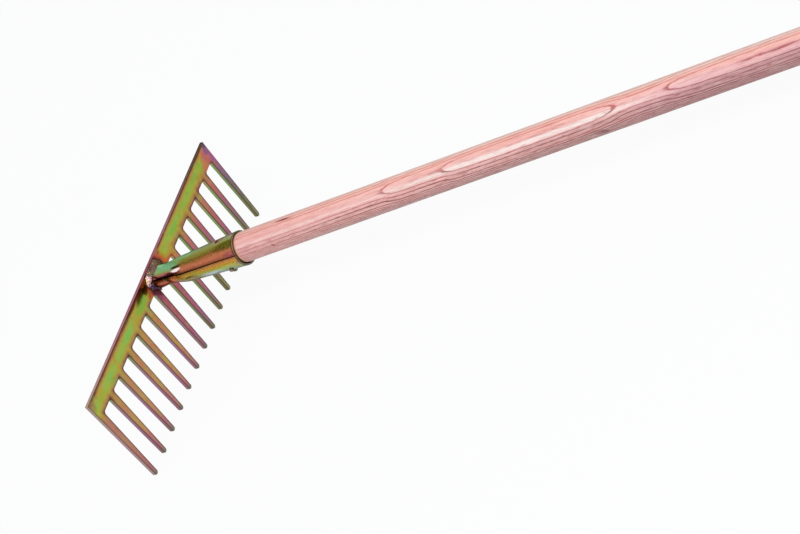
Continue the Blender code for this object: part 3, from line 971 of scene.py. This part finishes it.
def web_film(graph, vector, drift, up_web, from_top):
    """Green in the middle of the web, then gold, orange and dark rose towards both its edges."""
    calm = from_top.ease(*CALM_TOP, 0.2, 1.0)
    blotches = graph.noise(vector, 42.0, 3.0, 0.55)
    return graph.lay((up_web + drift * calm).ramp(WEB_COLORS), [
        (blotches.ease(0.50, 0.64, 0.0, 0.60) * calm, (184, 154, 66)),
        (blotches.ease(0.46, 0.34, 0.0, 0.45), (128, 186, 84)),
    ])


def teeth_film(graph, vector, x, y, down):
    """Teeth that change colour from one end of the comb to the other, streaked, with worn tips."""
    streaks = graph.noise(vector, (420.0, 120.0, 420.0), 3.0, 0.65)
    return graph.lay(down.ramp(LOW_TEETH), [
        (x.ease(*LOW_TO_HIGH_TEETH), down.ramp(HIGH_TEETH)),
        (x.ease(*MIDDLE_TEETH_BEGIN) * x.ease(*MIDDLE_TEETH_END, 1.0, 0.0), down.ramp(MIDDLE_TEETH)),
        (x.ease(*LAST_TOOTH_BEGIN), down.ramp(LAST_TOOTH)),
        (streaks.ease(0.50, 0.62, 0.0, 0.50) * x.ease(*ROUND_MIDDLE, 1.0, 0.3), (156, 158, 66)),
        (streaks.ease(0.50, 0.38, 0.0, 0.45) * x.ease(*ROUND_MIDDLE, 1.0, 0.5), (200, 98, 84)),
        (x.ease(*FIRST_TOOTH, 0.65, 0.0), (176, 116, 112)),
        (y.ease(*WORN_TIPS) * x.ease(*HIGH_HALF, 0.85, 0.2), (122, 130, 114)),
    ])


def wall_film(graph, x, face_x, down):
    """Walls of the slots: lilac on the low teeth, green on the high ones, dark on the far sides."""
    return graph.lay(down.ramp(LOW_WALLS), [
        (x.ease(*LOW_TO_HIGH_WALLS), down.ramp(HIGH_WALLS)),
        (x.ease(*FIRST_WALL, 0.7, 0.0), (182, 156, 152)),
        (face_x.ease(*FACING), (96, 66, 88)),
    ])


def comb_steel():
    """Film over the comb: a green band along the web, gold, orange and dark rose towards its edges,
    orange, rose and lilac teeth, and a scorched zone round the weld."""
    material, graph, shader = new_material("comb_steel", metallic=1.0)
    vector, (x, y, z) = graph.place()
    face_x, face_y, _ = graph.facing()
    clouds = graph.noise(vector, 55.0, 4.0, 0.6, 0.4) - 0.5
    patches = graph.noise(vector, 150.0, 4.0, 0.65, 0.3) - 0.5
    flecks = graph.noise(vector, 520.0, 3.0, 0.65) - 0.5
    drift = clouds * 0.30 + patches * 0.16 + flecks * 0.12

    tooth_number = x * (1.0 / TOOTH_PITCH)
    across = abs((graph.math("FRACT", tooth_number) - 0.5) * TOOTH_PITCH)
    half_tip = TOOTH_TIP_WIDTH / 2
    half_width = y.slope(half_tip - TIP_BELOW_AXIS, WEB_EDGE, half_tip, TOOTH_ROOT_WIDTH / 2)
    above = graph.most(y - WEB_EDGE, 0.0)
    from_slot = graph.span(graph.most(half_width - across, 0.0), above)
    from_top = AXIS_BELOW_TOP_EDGE - y
    from_end = COMB_HALF_WIDTH - abs(x)
    from_edge = graph.least(graph.least(from_slot, from_top), from_end)
    up_web = graph.lerp(above.ease(*OUT_OF_SLOT), from_slot, above) * (1.0 / WEB_HEIGHT)
    up_web = up_web - x.ease(*HIGH_HALF, 0.0, 0.05)
    down = y.slope(WEB_EDGE, -TIP_BELOW_AXIS)
    down = down + ((graph.drawn(tooth_number) - 0.5) * 0.20 + drift * 1.1)

    soft = graph.noise(vector, 90.0, 1.0, 0.4) - 0.5
    spread = graph.span(x, y - NECK_LIFT) + soft * 0.004
    towards_front = z.ease(*BACK_TO_FRONT, 0.70, 1.0)
    heat = spread.ease(*HEAT_TINT, 0.92, 0.0) * y.ease(*HEAT_BELOW) * towards_front
    dark_edge = graph.mix(x.ease(*VIOLET_EDGES), (84, 60, 44), (84, 42, 66))
    color = graph.lay(teeth_film(graph, vector, x, y, down), [
        (y.ease(*ROOTS), web_film(graph, vector, drift, up_web, from_top)),
        (patches.ease(0.02, 0.22, 0.0, 0.30), (184, 150, 120)),
        (patches.ease(-0.02, -0.24, 0.0, 0.32), (120, 92, 52)),
        # dark outline along every edge: partly the film's darker edges, partly painted shade
        (from_edge.ease(*DARK_OUTLINE, 0.90, 0.0), dark_edge),
        (heat, (spread.slope(*HEAT_RINGS) + drift * 0.5).ramp(HEAT_COLORS)),
    ])
    along = (x + soft * 0.006) * MILLIMETRES
    up = (y + soft * 0.004) * MILLIMETRES
    color = paint_marks(graph, color, along, up, COMB_MARKS)

    side_wall = abs(face_x).ease(*FACING)
    top_side = face_y.ease(*FACING)
    top_place = x.slope(-COMB_HALF_WIDTH, COMB_HALF_WIDTH) + drift * 0.4
    corner = graph.most(z.ease(*FRONT_CORNER, 0.0, 0.60), z.ease(*BACK_CORNER, 0.60, 0.0))
    scorch = spread.ease(*SCORCH, 0.86, 0.0) * top_side.ease(0.0, 1.0, 1.0, 0.25)
    color = graph.lay(color, [
        (side_wall, wall_film(graph, x, face_x, down)),
        (top_side, top_place.ramp(TOP_SIDE)),
        # painted shade: dark lines along the corners of the side walls and the top side
        (corner * graph.most(side_wall, top_side), (56, 42, 38)),
        (scorch * z.ease(*BACK_TO_FRONT, 0.12, 1.0), (84, 42, 44)),
    ])
    coat_with_film(graph, shader, color, vector, roughness=0.34, unevenness=0.12, bump_distance=0.00012)
    return material


# Colours of the film round the socket, by the angle from its upper side towards the seam, in degrees.
# Some are painted light: a dark painted reflection near the upper outline at about -40, a pale
# painted reflection along the underside from about 104 to 124, and painted shade along the seam at
# about 64 to 70.
CONE_COLORS = [
    (-180, (150, 150, 92)), (-130, (178, 124, 86)), (-85, (152, 142, 72)), (-50, (130, 146, 100)),
    (-40, (106, 116, 84)), (-29, (176, 184, 154)), (-8, (162, 176, 142)), (5, (150, 154, 94)),
    (20, (128, 120, 46)), (31, (114, 86, 28)), (39, (150, 96, 50)), (50, (190, 110, 78)),
    (60, (170, 94, 68)), (66, (152, 82, 58)), (69, (104, 54, 38)), (74, (216, 152, 92)),
    (81, (230, 168, 84)), (88, (206, 172, 62)), (96, (190, 190, 96)), (104, (186, 204, 136)),
    (112, (190, 218, 186)), (124, (190, 212, 204)), (145, (166, 182, 158)), (180, (150, 150, 92)),
]
NECK_COLORS = [
    (-180, (110, 80, 56)), (-100, (96, 82, 54)), (-50, (78, 84, 58)), (-30, (88, 102, 72)),
    (-12, (102, 128, 94)), (4, (112, 152, 108)), (18, (116, 170, 112)), (33, (126, 166, 98)),
    (43, (138, 142, 84)), (50, (160, 108, 82)), (58, (174, 88, 100)), (64, (130, 56, 60)),
    (70, (56, 24, 16)), (76, (150, 88, 46)), (93, (170, 96, 58)), (108, (168, 96, 82)),
    (128, (176, 120, 104)), (180, (110, 80, 56)),
]
MOUTH_COLORS = [
    (-54, (120, 112, 80)), (-18, (96, 92, 60)), (28.8, (198, 190, 180)), (72, (176, 168, 150)),
    (115.2, (120, 112, 100)),
]

# Zones of the socket: along it from the comb, out from the sheet's outer side, beside the seam in
# degrees, and how much of a direction counts as facing the handle's end
NECK_TO_CONE = (0.020, 0.044)
RIM = (SOCKET_LENGTH - 0.0020, SOCKET_LENGTH - 0.0006)
LIP = (SOCKET_LENGTH - 0.0012, SOCKET_LENGTH - 0.0004)
PAST_SHOULDER = (SHOULDER_DISTANCE - 0.002, SHOULDER_DISTANCE)
SHADE_INSIDE_SHEET = (-0.0022, -0.0016)
BESIDE_SEAM = (4.0, 14.0)
END_FACE = (0.6, 0.9)

# Marks on the socket: millimetres from the comb, degrees from the upper side, half sizes, slant,
# strength and colour. Some are painted light: a pale blue-white painted reflection low on the cone,
# near-black painted shade in the crease above the dent, and a white painted highlight on the dent.
SOCKET_MARKS = [
    (25, 2, 13, 38, 0, 0.95, (120, 172, 128)),
    (45, -14, 17, 19, 0, 0.85, (148, 200, 148)),
    (31, -20, 12, 19, 0, 0.9, (168, 228, 166)),
    (38, 12, 9, 14, 0, 0.5, (124, 150, 80)),
    (101, 24, 15, 14, 0, 0.8, (82, 82, 18)),
    (104, 62, 9, 12, 0, 0.5, (150, 66, 84)),
    (106, 96, 2.4, 8, 0, 0.5, (150, 90, 150)),
    (100, 108, 9, 12, 0, 0.6, (182, 170, 96)),
    (90, 112, 7, 12, 0, 0.5, (156, 176, 128)),
    (89, -8, 8, 17, 0, 0.65, (176, 138, 116)),
    (105, -28, 9, 22, 0, 0.65, (196, 172, 164)),
    (92, 34, 10, 6, 0, 0.6, (92, 62, 18)),
    (48, 116, 10, 24, 0, 0.85, (178, 162, 124)),
    # painted reflection: pale blue-white patch low on the cone
    (70, 112, 11, 8, 0, 0.85, (214, 224, 238)),
    (78, 116, 3, 6, 0, 0.6, (176, 164, 206)),
    (52, 86, 9, 10, -0.3, 0.8, (196, 182, 76)),
    (25, 90, 3.8, 20, 0, 0.95, (244, 150, 112)),
    (24.5, 118, 4, 10, 0, 0.8, (150, 80, 98)),
    (18.2, 85, 3, 14, 0, 0.92, (40, 38, 14)),
    (11.5, 75, 6, 5, 0, 0.8, (56, 26, 20)),
    (30.5, 79, 2.2, 8, 1.5, 0.7, (120, 72, 16)),
    (30, 114, 5, 9, 0, 0.7, (226, 196, 186)),
    (34, 92, 3.4, 9, 0, 0.8, (192, 128, 68)),
    (40.5, 80.5, 5, 3.6, 0, 0.9, (222, 182, 112)),
    (44, 97, 6, 4, -0.4, 0.85, (120, 96, 16)),
    (40, 104, 5, 4, -0.3, 0.7, (174, 160, 84)),
    (66, 81, 7, 4, 0, 0.5, (216, 168, 102)),
    (18, 57, 7.5, 6.5, -0.8, 0.9, (162, 80, 106)),
    (11.5, 104, 5, 13, 0, 0.85, (206, 116, 100)),
    (32, 58.5, 7, 3.6, -0.4, 0.85, (84, 36, 56)),
    # painted shade in the crease above the dent
    (34, 33.5, 8, 4.6, -0.27, 0.95, (26, 20, 14)),
    # painted highlight on the dent
    (33, 47.5, 7, 6.4, -0.45, 1, (255, 238, 244)),
]


def socket_steel():
    """Film round the socket: green and olive on the upper side, salmon up to the seam, gold and
    yellow-green below it, and a pale stripe along the underside that is a painted reflection. Painted
    shade lies along the seam, inside the sheet and in the crease above the dent, and a painted
    highlight lies on the dent."""
    material, graph, shader = new_material("socket_steel", metallic=1.0)
    vector, (x, y, z) = graph.place()
    rise = z.ease(0.0, SHOULDER_DISTANCE, NECK_LIFT, -SOCKET_DROP)
    degrees = graph.degrees(x, y - rise)
    streaks = graph.noise(vector, (160.0, 160.0, 26.0), 3.0, 0.6)
    clouds = graph.noise(vector, 120.0, 3.0, 0.6)
    wander = (streaks - 0.5) * 16.0 + (clouds - 0.5) * 9.0
    near_seam = abs(degrees - SEAM_DEGREES).ease(*BESIDE_SEAM, 0.12, 1.0)
    shifted = degrees + wander * near_seam
    color = graph.mix(z.ease(*NECK_TO_CONE), shifted.wheel(NECK_COLORS), shifted.wheel(CONE_COLORS))
    flecks = graph.noise(vector, 700.0, 3.0, 0.65)
    outer = z.slope(SHOULDER_DISTANCE, SOCKET_LENGTH, SHOULDER_RADIUS, MOUTH_RADIUS)
    # painted shade on the inner side of the sheet, past the shoulder
    inside = (graph.span(x, y) - outer).ease(*SHADE_INSIDE_SHEET, 1.0, 0.0) * z.ease(*PAST_SHOULDER)
    color = graph.lay(paint_marks(graph, color, z * MILLIMETRES, shifted, SOCKET_MARKS), [
        (flecks.ease(0.50, 0.78, 0.0, 0.35), (196, 190, 150)),
        (flecks.ease(0.50, 0.24, 0.0, 0.30), (60, 44, 28)),
        (z.ease(*RIM) * 0.85, (58, 48, 36)),
        (graph.facing()[2].ease(*END_FACE) * z.ease(*LIP), shifted.wheel(MOUTH_COLORS)),
        # painted shade inside the sheet
        (inside * 0.9, (40, 26, 20)),
    ])
    coat_with_film(graph, shader, color, vector, roughness=0.28, unevenness=0.10, bump_distance=0.00008)
    return material


WELD_COLORS = [
    (0.28, (44, 30, 24)), (0.40, (92, 72, 48)), (0.48, (124, 102, 66)), (0.54, (106, 76, 70)),
    (0.62, (142, 116, 92)), (0.72, (184, 160, 136)),
]

# Marks on the weld: millimetres from the comb, degrees from the upper side, half sizes, slant,
# strength and colour. The cream and pink patches beside the seam are painted highlights, and the
# two dark purple patches under the neck are painted shade.
WELD_MARKS = [
    (8, 8, 3, 14, 0, 0.6, (104, 70, 84)),
    (5, 18, 2.5, 9, 0, 0.5, (60, 44, 40)),
    (2.6, 44, 2, 9, 0, 0.7, (90, 62, 58)),
    # painted highlights: cream and pink patches beside the seam
    (2.2, 58, 2.6, 8, 0, 0.95, (246, 200, 172)),
    (4.6, 56, 1.8, 8, 0, 0.95, (240, 176, 190)),
    (1.2, 70, 1.6, 5, 0, 0.8, (214, 158, 110)),
    (3, 80, 3.8, 11, 0, 0.95, (56, 24, 76)),
    (5, 78, 2.5, 8, 0, 0.8, (90, 44, 84)),
    # painted shade under the neck
    (3, 104, 6, 15, 0, 0.95, (66, 30, 54)),
    (2, 124, 7, 18, 0, 0.85, (70, 36, 50)),
]

# Degrees round the weld between which its painted glints come and go
GLINTS_BEGIN = (30.0, 52.0)
GLINTS_END = (72.0, 92.0)


def weld_metal():
    """Burnt, rippled weld: grey-brown and olive with dark hollows and fine painted glints, a cream to
    pink painted highlight beside the seam, a dark purple crater with white painted glints below it,
    and painted shade under the neck."""
    material, graph, shader = new_material("weld_metal", metallic=1.0)
    vector, (x, y, z) = graph.place()
    blotch = graph.noise(vector, 420.0, 4.0, 0.65, 0.6)
    color = blotch.ramp(WELD_COLORS)
    up = y - NECK_LIFT
    degrees = graph.degrees(x, up)
    arcs = graph.math("SINE", degrees * 0.62 + (blotch * 7.0 + graph.span(x, up) * 500.0))
    color = graph.mix(arcs.ease(0.1, 0.9, 0.0, 0.6), color, (58, 42, 36))
    wander = degrees + (blotch - 0.5) * 60.0
    along = z * MILLIMETRES + (blotch - 0.5) * 8.0
    color = paint_marks(graph, color, along, wander, WELD_MARKS)
    # painted glints: fine bright points, only on part of the way round the weld
    glints = graph.noise(vector, 1100.0, 2.0, 0.5).ease(0.55, 0.63)
    bright = degrees.ease(*GLINTS_BEGIN, 0.16, 1.0) * degrees.ease(*GLINTS_END, 1.0, 0.10)
    color = graph.mix(glints * bright, color, (255, 238, 240))
    coat_with_film(graph, shader, color, vector, roughness=0.32, unevenness=0.25, bump_distance=0.0003)
    return material


# Colours of the screw's head from its middle to its rim; the pale middle is partly a painted
# highlight and the dark rim partly painted shade
SCREW_COLORS = [
    (0.0, (226, 220, 214)), (0.45, (206, 200, 190)), (0.70, (140, 122, 104)), (1.0, (112, 98, 84)),
]


def screw_steel():
    """Bright zinc, with a dark and slightly yellow rim. The pale middle is partly a painted highlight,
    and the dark rim partly painted shade.
    """
    material, graph, shader = new_material("screw_steel", metallic=1.0)
    vector, (x, y, _) = graph.place()
    flecks = graph.noise(vector, 900.0, 3.0, 0.6) - 0.5
    reach = graph.span(x, y) + flecks * 0.0008
    color = reach.slope(0.0, SCREW_HEAD_DIAMETER / 2).ramp(SCREW_COLORS)
    coat_with_film(graph, shader, color, vector, roughness=0.28, unevenness=0.15, bump_distance=0.00005)
    return material


# The pith of the tree lies outside the handle, straight across from the pointed figures
FIGURE_ANGLE = math.radians(36.0)
PITH_DISTANCE = 0.0208
RING_SPACING = 0.00076

# How many rings further out the surface lies along the handle: the pointed figures of the wood open
# and close where this passes a whole number. Metres from the comb, then rings.
FIGURE_LENGTH = 1.6
FIGURE_RINGS = 3.2
FIGURE = [
    (0, 0.6), (1.6, 1.3), (0.11, 0.66), (0.256, 0.66), (0.27, 0.68), (0.282, 0.84), (0.293, 1.45),
    (0.31, 1.68), (0.33, 1.74), (0.34, 1.78), (0.347, 1.9), (0.355, 2.25), (0.374, 2.56), (0.42, 2.72),
    (0.476, 2.7), (0.5, 2.5), (0.51, 2.3), (0.518, 2.02), (0.525, 1.66), (0.54, 1.5), (0.558, 1.56),
    (0.568, 1.8), (0.576, 2.16), (0.604, 2.56), (0.68, 2.8), (0.76, 1.9), (0.86, 2.4), (1, 1.2),
    (1.15, 0.8), (1.4, 1.9),
]

# Early wood and the dark line in each year's growth, as shares of a year; the lines are wider on
# the sides that lie deep below the figures
YEAR_FLUSH = (0.35, 0.90)
YEAR_END = (0.95, 1.0)
LINE_END = (0.96, 1.0)
LINE_RISE = 0.15
LINE_START_ON_FIGURES = 0.70
LINE_START_ON_SIDES = 0.50
RINGS_AT_PITH = 60.0

# Depths below the figures' middle, and zones round the handle in degrees and along it
SIDES = (-0.0030, -0.0006)
WIDER_RINGS = (-0.0030, -0.0007)
LOWER_SIDE = (44.0, 70.0)
SHADE_BEGIN = (48.0, 66.0)
SHADE_ALONG = (0.24, 0.60)
SHADE_AT_SOCKET = (0.20, 0.34)
HIGHLIGHT_STRIPE_BEGIN = (33.0, 44.0)
HIGHLIGHT_STRIPE_END = (48.0, 58.0)
HIGHLIGHT_STRIPE_ALONG_BEGIN = (0.25, 0.36)
HIGHLIGHT_STRIPE_ALONG_END = (0.50, 0.58)
PINK_FROM = (24.0, 40.0)
PINK_ALONG = (0.50, 0.58)
SHEEN_ON_TOP_ALONG = (0.20, 0.36)
SHEEN_ON_TOP_WIDENS = (0.48, 0.58)
LINES_DARKEN = (0.14, 0.30)
NEAR_HEAD = (0.12, 0.26)
CONE_EDGE = (CONE_START - 0.0004, CONE_START + 0.0004)
SHADE_IN_MOUTH_GAP = (SOCKET_LENGTH + 0.0008, SOCKET_LENGTH + 0.0016)
HIDDEN_IN_SOCKET = (SOCKET_LENGTH - 0.0006, SOCKET_LENGTH + 0.0002)

# Colours of the early wood round the handle by the angle from its upper side, in degrees. They are
# partly the wood's own tone and partly painted light: a painted highlight from about 34 to 56, a
# painted sheen from about -36 to -18, and painted shade towards the lower side.
WOOD_COLORS = [
    (-180, (226, 180, 176)), (-110, (236, 186, 180)), (-36, (236, 220, 212)), (-18, (238, 214, 206)),
    (-4, (246, 204, 192)), (6, (252, 192, 180)), (20, (255, 196, 186)), (34, (255, 206, 200)),
    (46, (255, 220, 216)), (56, (250, 200, 198)), (74, (238, 189, 186)), (98, (230, 186, 182)),
    (128, (216, 186, 182)), (180, (226, 180, 176)),
]

# Colours of the dark growth lines round the handle, by the same angle
LINE_COLORS = [
    (-60, (206, 138, 116)), (-10, (226, 126, 92)), (16, (212, 100, 84)), (40, (156, 52, 62)),
    (60, (116, 44, 54)), (95, (110, 56, 62)), (150, (126, 78, 78)),
]

# Marks in the wood: millimetres from the comb, degrees from the upper side, half sizes, slant,
# strength and colour
WOOD_MARKS = [
    (168.5, 2.5, 9.5, 5.4, 0.1, 0.75, (160, 44, 46)),
    (170, 2.5, 5.5, 3.4, 0.1, 0.9, (96, 14, 22)),
    (176, 8, 9, 2.2, 0, 0.4, (196, 96, 84)),
    (151.6, 85, 1.9, 5, 2, 0.7, (116, 78, 62)),
    (153.6, 90, 3, 2.4, 0, 0.4, (160, 108, 96)),
    (501, 106, 8, 13, 0.6, 0.4, (128, 66, 76)),
    (504, 108, 3.6, 9, 1.2, 0.45, (104, 50, 60)),
]


def growth(graph, x, y, z, slow, quick, frays):
    """Years of growth, counted outwards from the pith, and depth below the figures' middle."""
    pith_x = PITH_DISTANCE * math.sin(FIGURE_ANGLE)
    pith_y = -PITH_DISTANCE * math.cos(FIGURE_ANGLE)
    from_pith = graph.span(x - pith_x, y - pith_y)
    surface = z.slope(
        CONE_START, BUTT_END, PITH_DISTANCE + HANDLE_RADIUS, PITH_DISTANCE + BUTT_RADIUS,
    )
    depth = from_pith - surface
    depth = depth * depth.ease(*WIDER_RINGS, 0.72, 1.0)
    share = z.slope(0.0, FIGURE_LENGTH)
    rise = share.curve([(at / FIGURE_LENGTH, rings / FIGURE_RINGS) for at, rings in FIGURE])
    rings = depth * (1.0 / RING_SPACING) + rise * FIGURE_RINGS
    rings = rings + (slow - 0.5) * 0.20 + (quick - 0.5) * 0.16 + (frays - 0.5) * 0.26
    return rings + RINGS_AT_PITH, depth


def growth_lines(graph, vector, z, rings, depth, lower):
    """Mask of the dark line that ends each year, of a strength that differs from year to year."""
    phase = graph.math("FRACT", rings)
    sides = depth.ease(*SIDES, 1.0, 0.0)
    start = graph.lerp(sides, LINE_START_ON_FIGURES, LINE_START_ON_SIDES)
    line = (phase - start).ease(0.0, LINE_RISE) * phase.ease(*LINE_END, 1.0, 0.0)
    season = graph.noise(vector, (170.0, 170.0, 4.0), 2.0, 0.5)
    line = line * graph.lerp(graph.drawn(rings), 0.70, 1.0) * season.ease(0.30, 0.58, 0.65, 1.0)
    line = line * graph.lerp(lower, 1.0, z.ease(*LINES_DARKEN, 0.60, 1.0))
    return line, phase.ease(*YEAR_FLUSH) * phase.ease(*YEAR_END, 1.0, 0.0)


def wood():
    """Turned pale pink wood: rings cut into long pointed figures on one side and into close lines
    on the others, with fine fibres and pores, and a bare paler cone at the socket."""
    material, graph, shader = new_material("wood", metallic=0.0)
    vector, (x, y, z) = graph.place()
    slow = graph.noise(vector, (60.0, 60.0, 7.0), 3.0, 0.5)
    quick = graph.noise(vector, (300.0, 300.0, 60.0), 2.0, 0.5)
    frays = graph.noise(vector, (900.0, 900.0, 100.0), 3.0, 0.65)
    streaks = graph.noise(vector, (520.0, 520.0, 5.0), 3.0, 0.6)
    fibres = graph.noise(vector, (1300.0, 1300.0, 60.0), 3.0, 0.65)
    pores = graph.noise(vector, (1100.0, 1100.0, 110.0), 2.0, 0.6)
    degrees = graph.degrees(x, y)
    lower = degrees.ease(*LOWER_SIDE)
    rings, depth = growth(graph, x, y, z, slow, quick, frays)
    line, flush = growth_lines(graph, vector, z, rings, depth, lower)

    shifted = degrees + (slow - 0.5) * 20.0
    # partly pale early wood, partly a painted highlight: a near-white stripe from 33 to 58 degrees
    stripe = z.ease(*HIGHLIGHT_STRIPE_ALONG_BEGIN) * z.ease(*HIGHLIGHT_STRIPE_ALONG_END, 1.0, 0.0)
    stripe = stripe * (degrees.ease(*HIGHLIGHT_STRIPE_BEGIN) * degrees.ease(*HIGHLIGHT_STRIPE_END, 1.0, 0.0))
    pink = z.ease(*PINK_ALONG) * degrees.ease(*PINK_FROM)
    # painted sheen: paler along the upper side, widening further from the socket
    pale = degrees.ease(z.ease(*SHEEN_ON_TOP_WIDENS, 4.0, 20.0), -20.0) * z.ease(*SHEEN_ON_TOP_ALONG)
    shade = graph.most(z.slope(*SHADE_ALONG, 0.0, 0.34), z.ease(*SHADE_AT_SOCKET, 0.10, 0.0))
    pore_mask = pores.ease(0.52, 0.66) * graph.lerp(lower, 0.16, 0.55)
    color = graph.lay(shifted.wheel(WOOD_COLORS), [
        (flush * 0.40, (228, 122, 120)),
        (streaks.ease(0.44, 0.68, 0.0, 0.40), (232, 150, 140)),
        # painted highlight over pale early wood
        (stripe * frays.ease(0.34, 0.58, 0.40, 0.74), (255, 250, 244)),
        (pink * 0.60, (232, 174, 180)),
        # painted sheen along the upper side
        (pale * 0.55, (250, 240, 234)),
        (degrees.ease(*SHADE_BEGIN) * shade, (60, 40, 40)),
        (line * 0.96, shifted.wheel(LINE_COLORS)),
        (fibres.ease(0.50, 0.72, 0.0, 0.55), (186, 110, 108)),
        (fibres.ease(0.46, 0.28, 0.0, 0.40), (255, 226, 222)),
        (pore_mask, (140, 70, 74)),
        (z.ease(*NEAR_HEAD, 0.30, 0.0), (230, 164, 158)),
    ])
    color = graph.lay(paint_marks(graph, color, z * MILLIMETRES, degrees, WOOD_MARKS), [
        (z.ease(*CONE_EDGE, 1.0, 0.0), (226, 168, 130)),
        # painted shade in the gap between the socket's mouth and the handle
        (z.ease(*SHADE_IN_MOUTH_GAP, 0.85, 0.0), (84, 66, 40)),
        # painted shade on the wood inside the socket
        (z.ease(*HIDDEN_IN_SOCKET, 1.0, 0.0) * 0.93, (70, 44, 32)),
    ])
    height = fibres * 0.6 - pore_mask * 0.5 - line * 0.2
    roughness = fibres.ease(0.3, 0.8, 0.58, 0.74)
    feed_shader(graph, shader, color, roughness, height, bump_distance=0.00025)
    return material


# Studio


def seen_directly(graph):
    """1 for rays from the camera and for those that metal reflects."""
    rays = graph.values(graph.add("ShaderNodeLightPath"))
    direct = graph.most(rays["Is Camera Ray"], rays["Is Glossy Ray"])
    return graph.most(direct, rays["Is Transmission Ray"])


def make_floor():
    """A pale floor that looks white and keeps a faint shadow."""
    shape = bmesh.new()
    bmesh.ops.create_grid(shape, x_segments=8, y_segments=8, size=FLOOR_SIZE)
    floor = add_piece("floor", mesh_from(shape, "floor"), Matrix.Identity(4))
    material = bpy.data.materials.new("pale_floor")
    material.use_nodes = True
    material.node_tree.nodes.clear()
    graph = Graph(material.node_tree)
    vector, _ = graph.place()
    tone = graph.mix(graph.noise(vector, 3.0), *FLOOR_TONES)
    matt = graph.filled("ShaderNodeBsdfDiffuse", [tone], ["Color"])
    glow = graph.filled("ShaderNodeEmission", (FLOOR_WHITE, 1.0), ("Color", "Strength"))
    both = graph.filled("ShaderNodeMixShader", (seen_directly(graph) * FLOOR_GLOW, matt, glow), range(3))
    graph.feed(graph.add("ShaderNodeOutputMaterial").inputs["Surface"], both)
    floor.data.materials.append(material)


def make_world():
    """Even white surroundings, dimmer as a light than as they look."""
    world = bpy.data.worlds.new("studio")
    bpy.context.scene.world = world
    world.use_nodes = True
    graph = Graph(world.node_tree)
    background = world.node_tree.nodes["Background"]
    background.inputs["Color"].default_value = WHITE
    strength = graph.lerp(seen_directly(graph), SURROUNDINGS_AS_LIGHT, 1.0)
    graph.feed(background.inputs["Strength"], strength)


def add_softbox(name, place, width, height, radiance):
    lamp = bpy.data.lights.new(name, "AREA")
    lamp.shape = "RECTANGLE"
    lamp.size = width
    lamp.size_y = height
    lamp.energy = radiance * math.pi * width * height
    box = bpy.data.objects.new(name, lamp)
    bpy.context.scene.collection.objects.link(box)
    box.location = place
    box.rotation_euler = (Vector(LAMPS_AIM_AT) - Vector(place)).to_track_quat("-Z", "Y").to_euler()


def make_camera():
    camera = bpy.data.objects.new("camera", bpy.data.cameras.new("camera"))
    bpy.context.scene.collection.objects.link(camera)
    camera.location = CAMERA_PLACE
    camera.rotation_euler = [math.radians(angle) for angle in CAMERA_TURN]
    camera.data.lens = CAMERA_LENS
    camera.data.sensor_width = SENSOR_WIDTH
    bpy.context.scene.camera = camera


def make_studio():
    bpy.context.scene.view_settings.view_transform = "Standard"
    make_floor()
    make_world()
    for name, settings in SOFTBOXES.items():
        add_softbox(name, *settings)
    make_camera()


def main():
    finish_piece(make_comb(), comb_steel(), "comb")
    finish_piece(make_socket(), socket_steel(), "socket")
    finish_piece(make_weld(), weld_metal(), "weld_bead")
    finish_piece(make_handle(), wood(), "handle")
    finish_piece(make_screw(), screw_steel(), "fixing_screw")
    make_studio()


main()
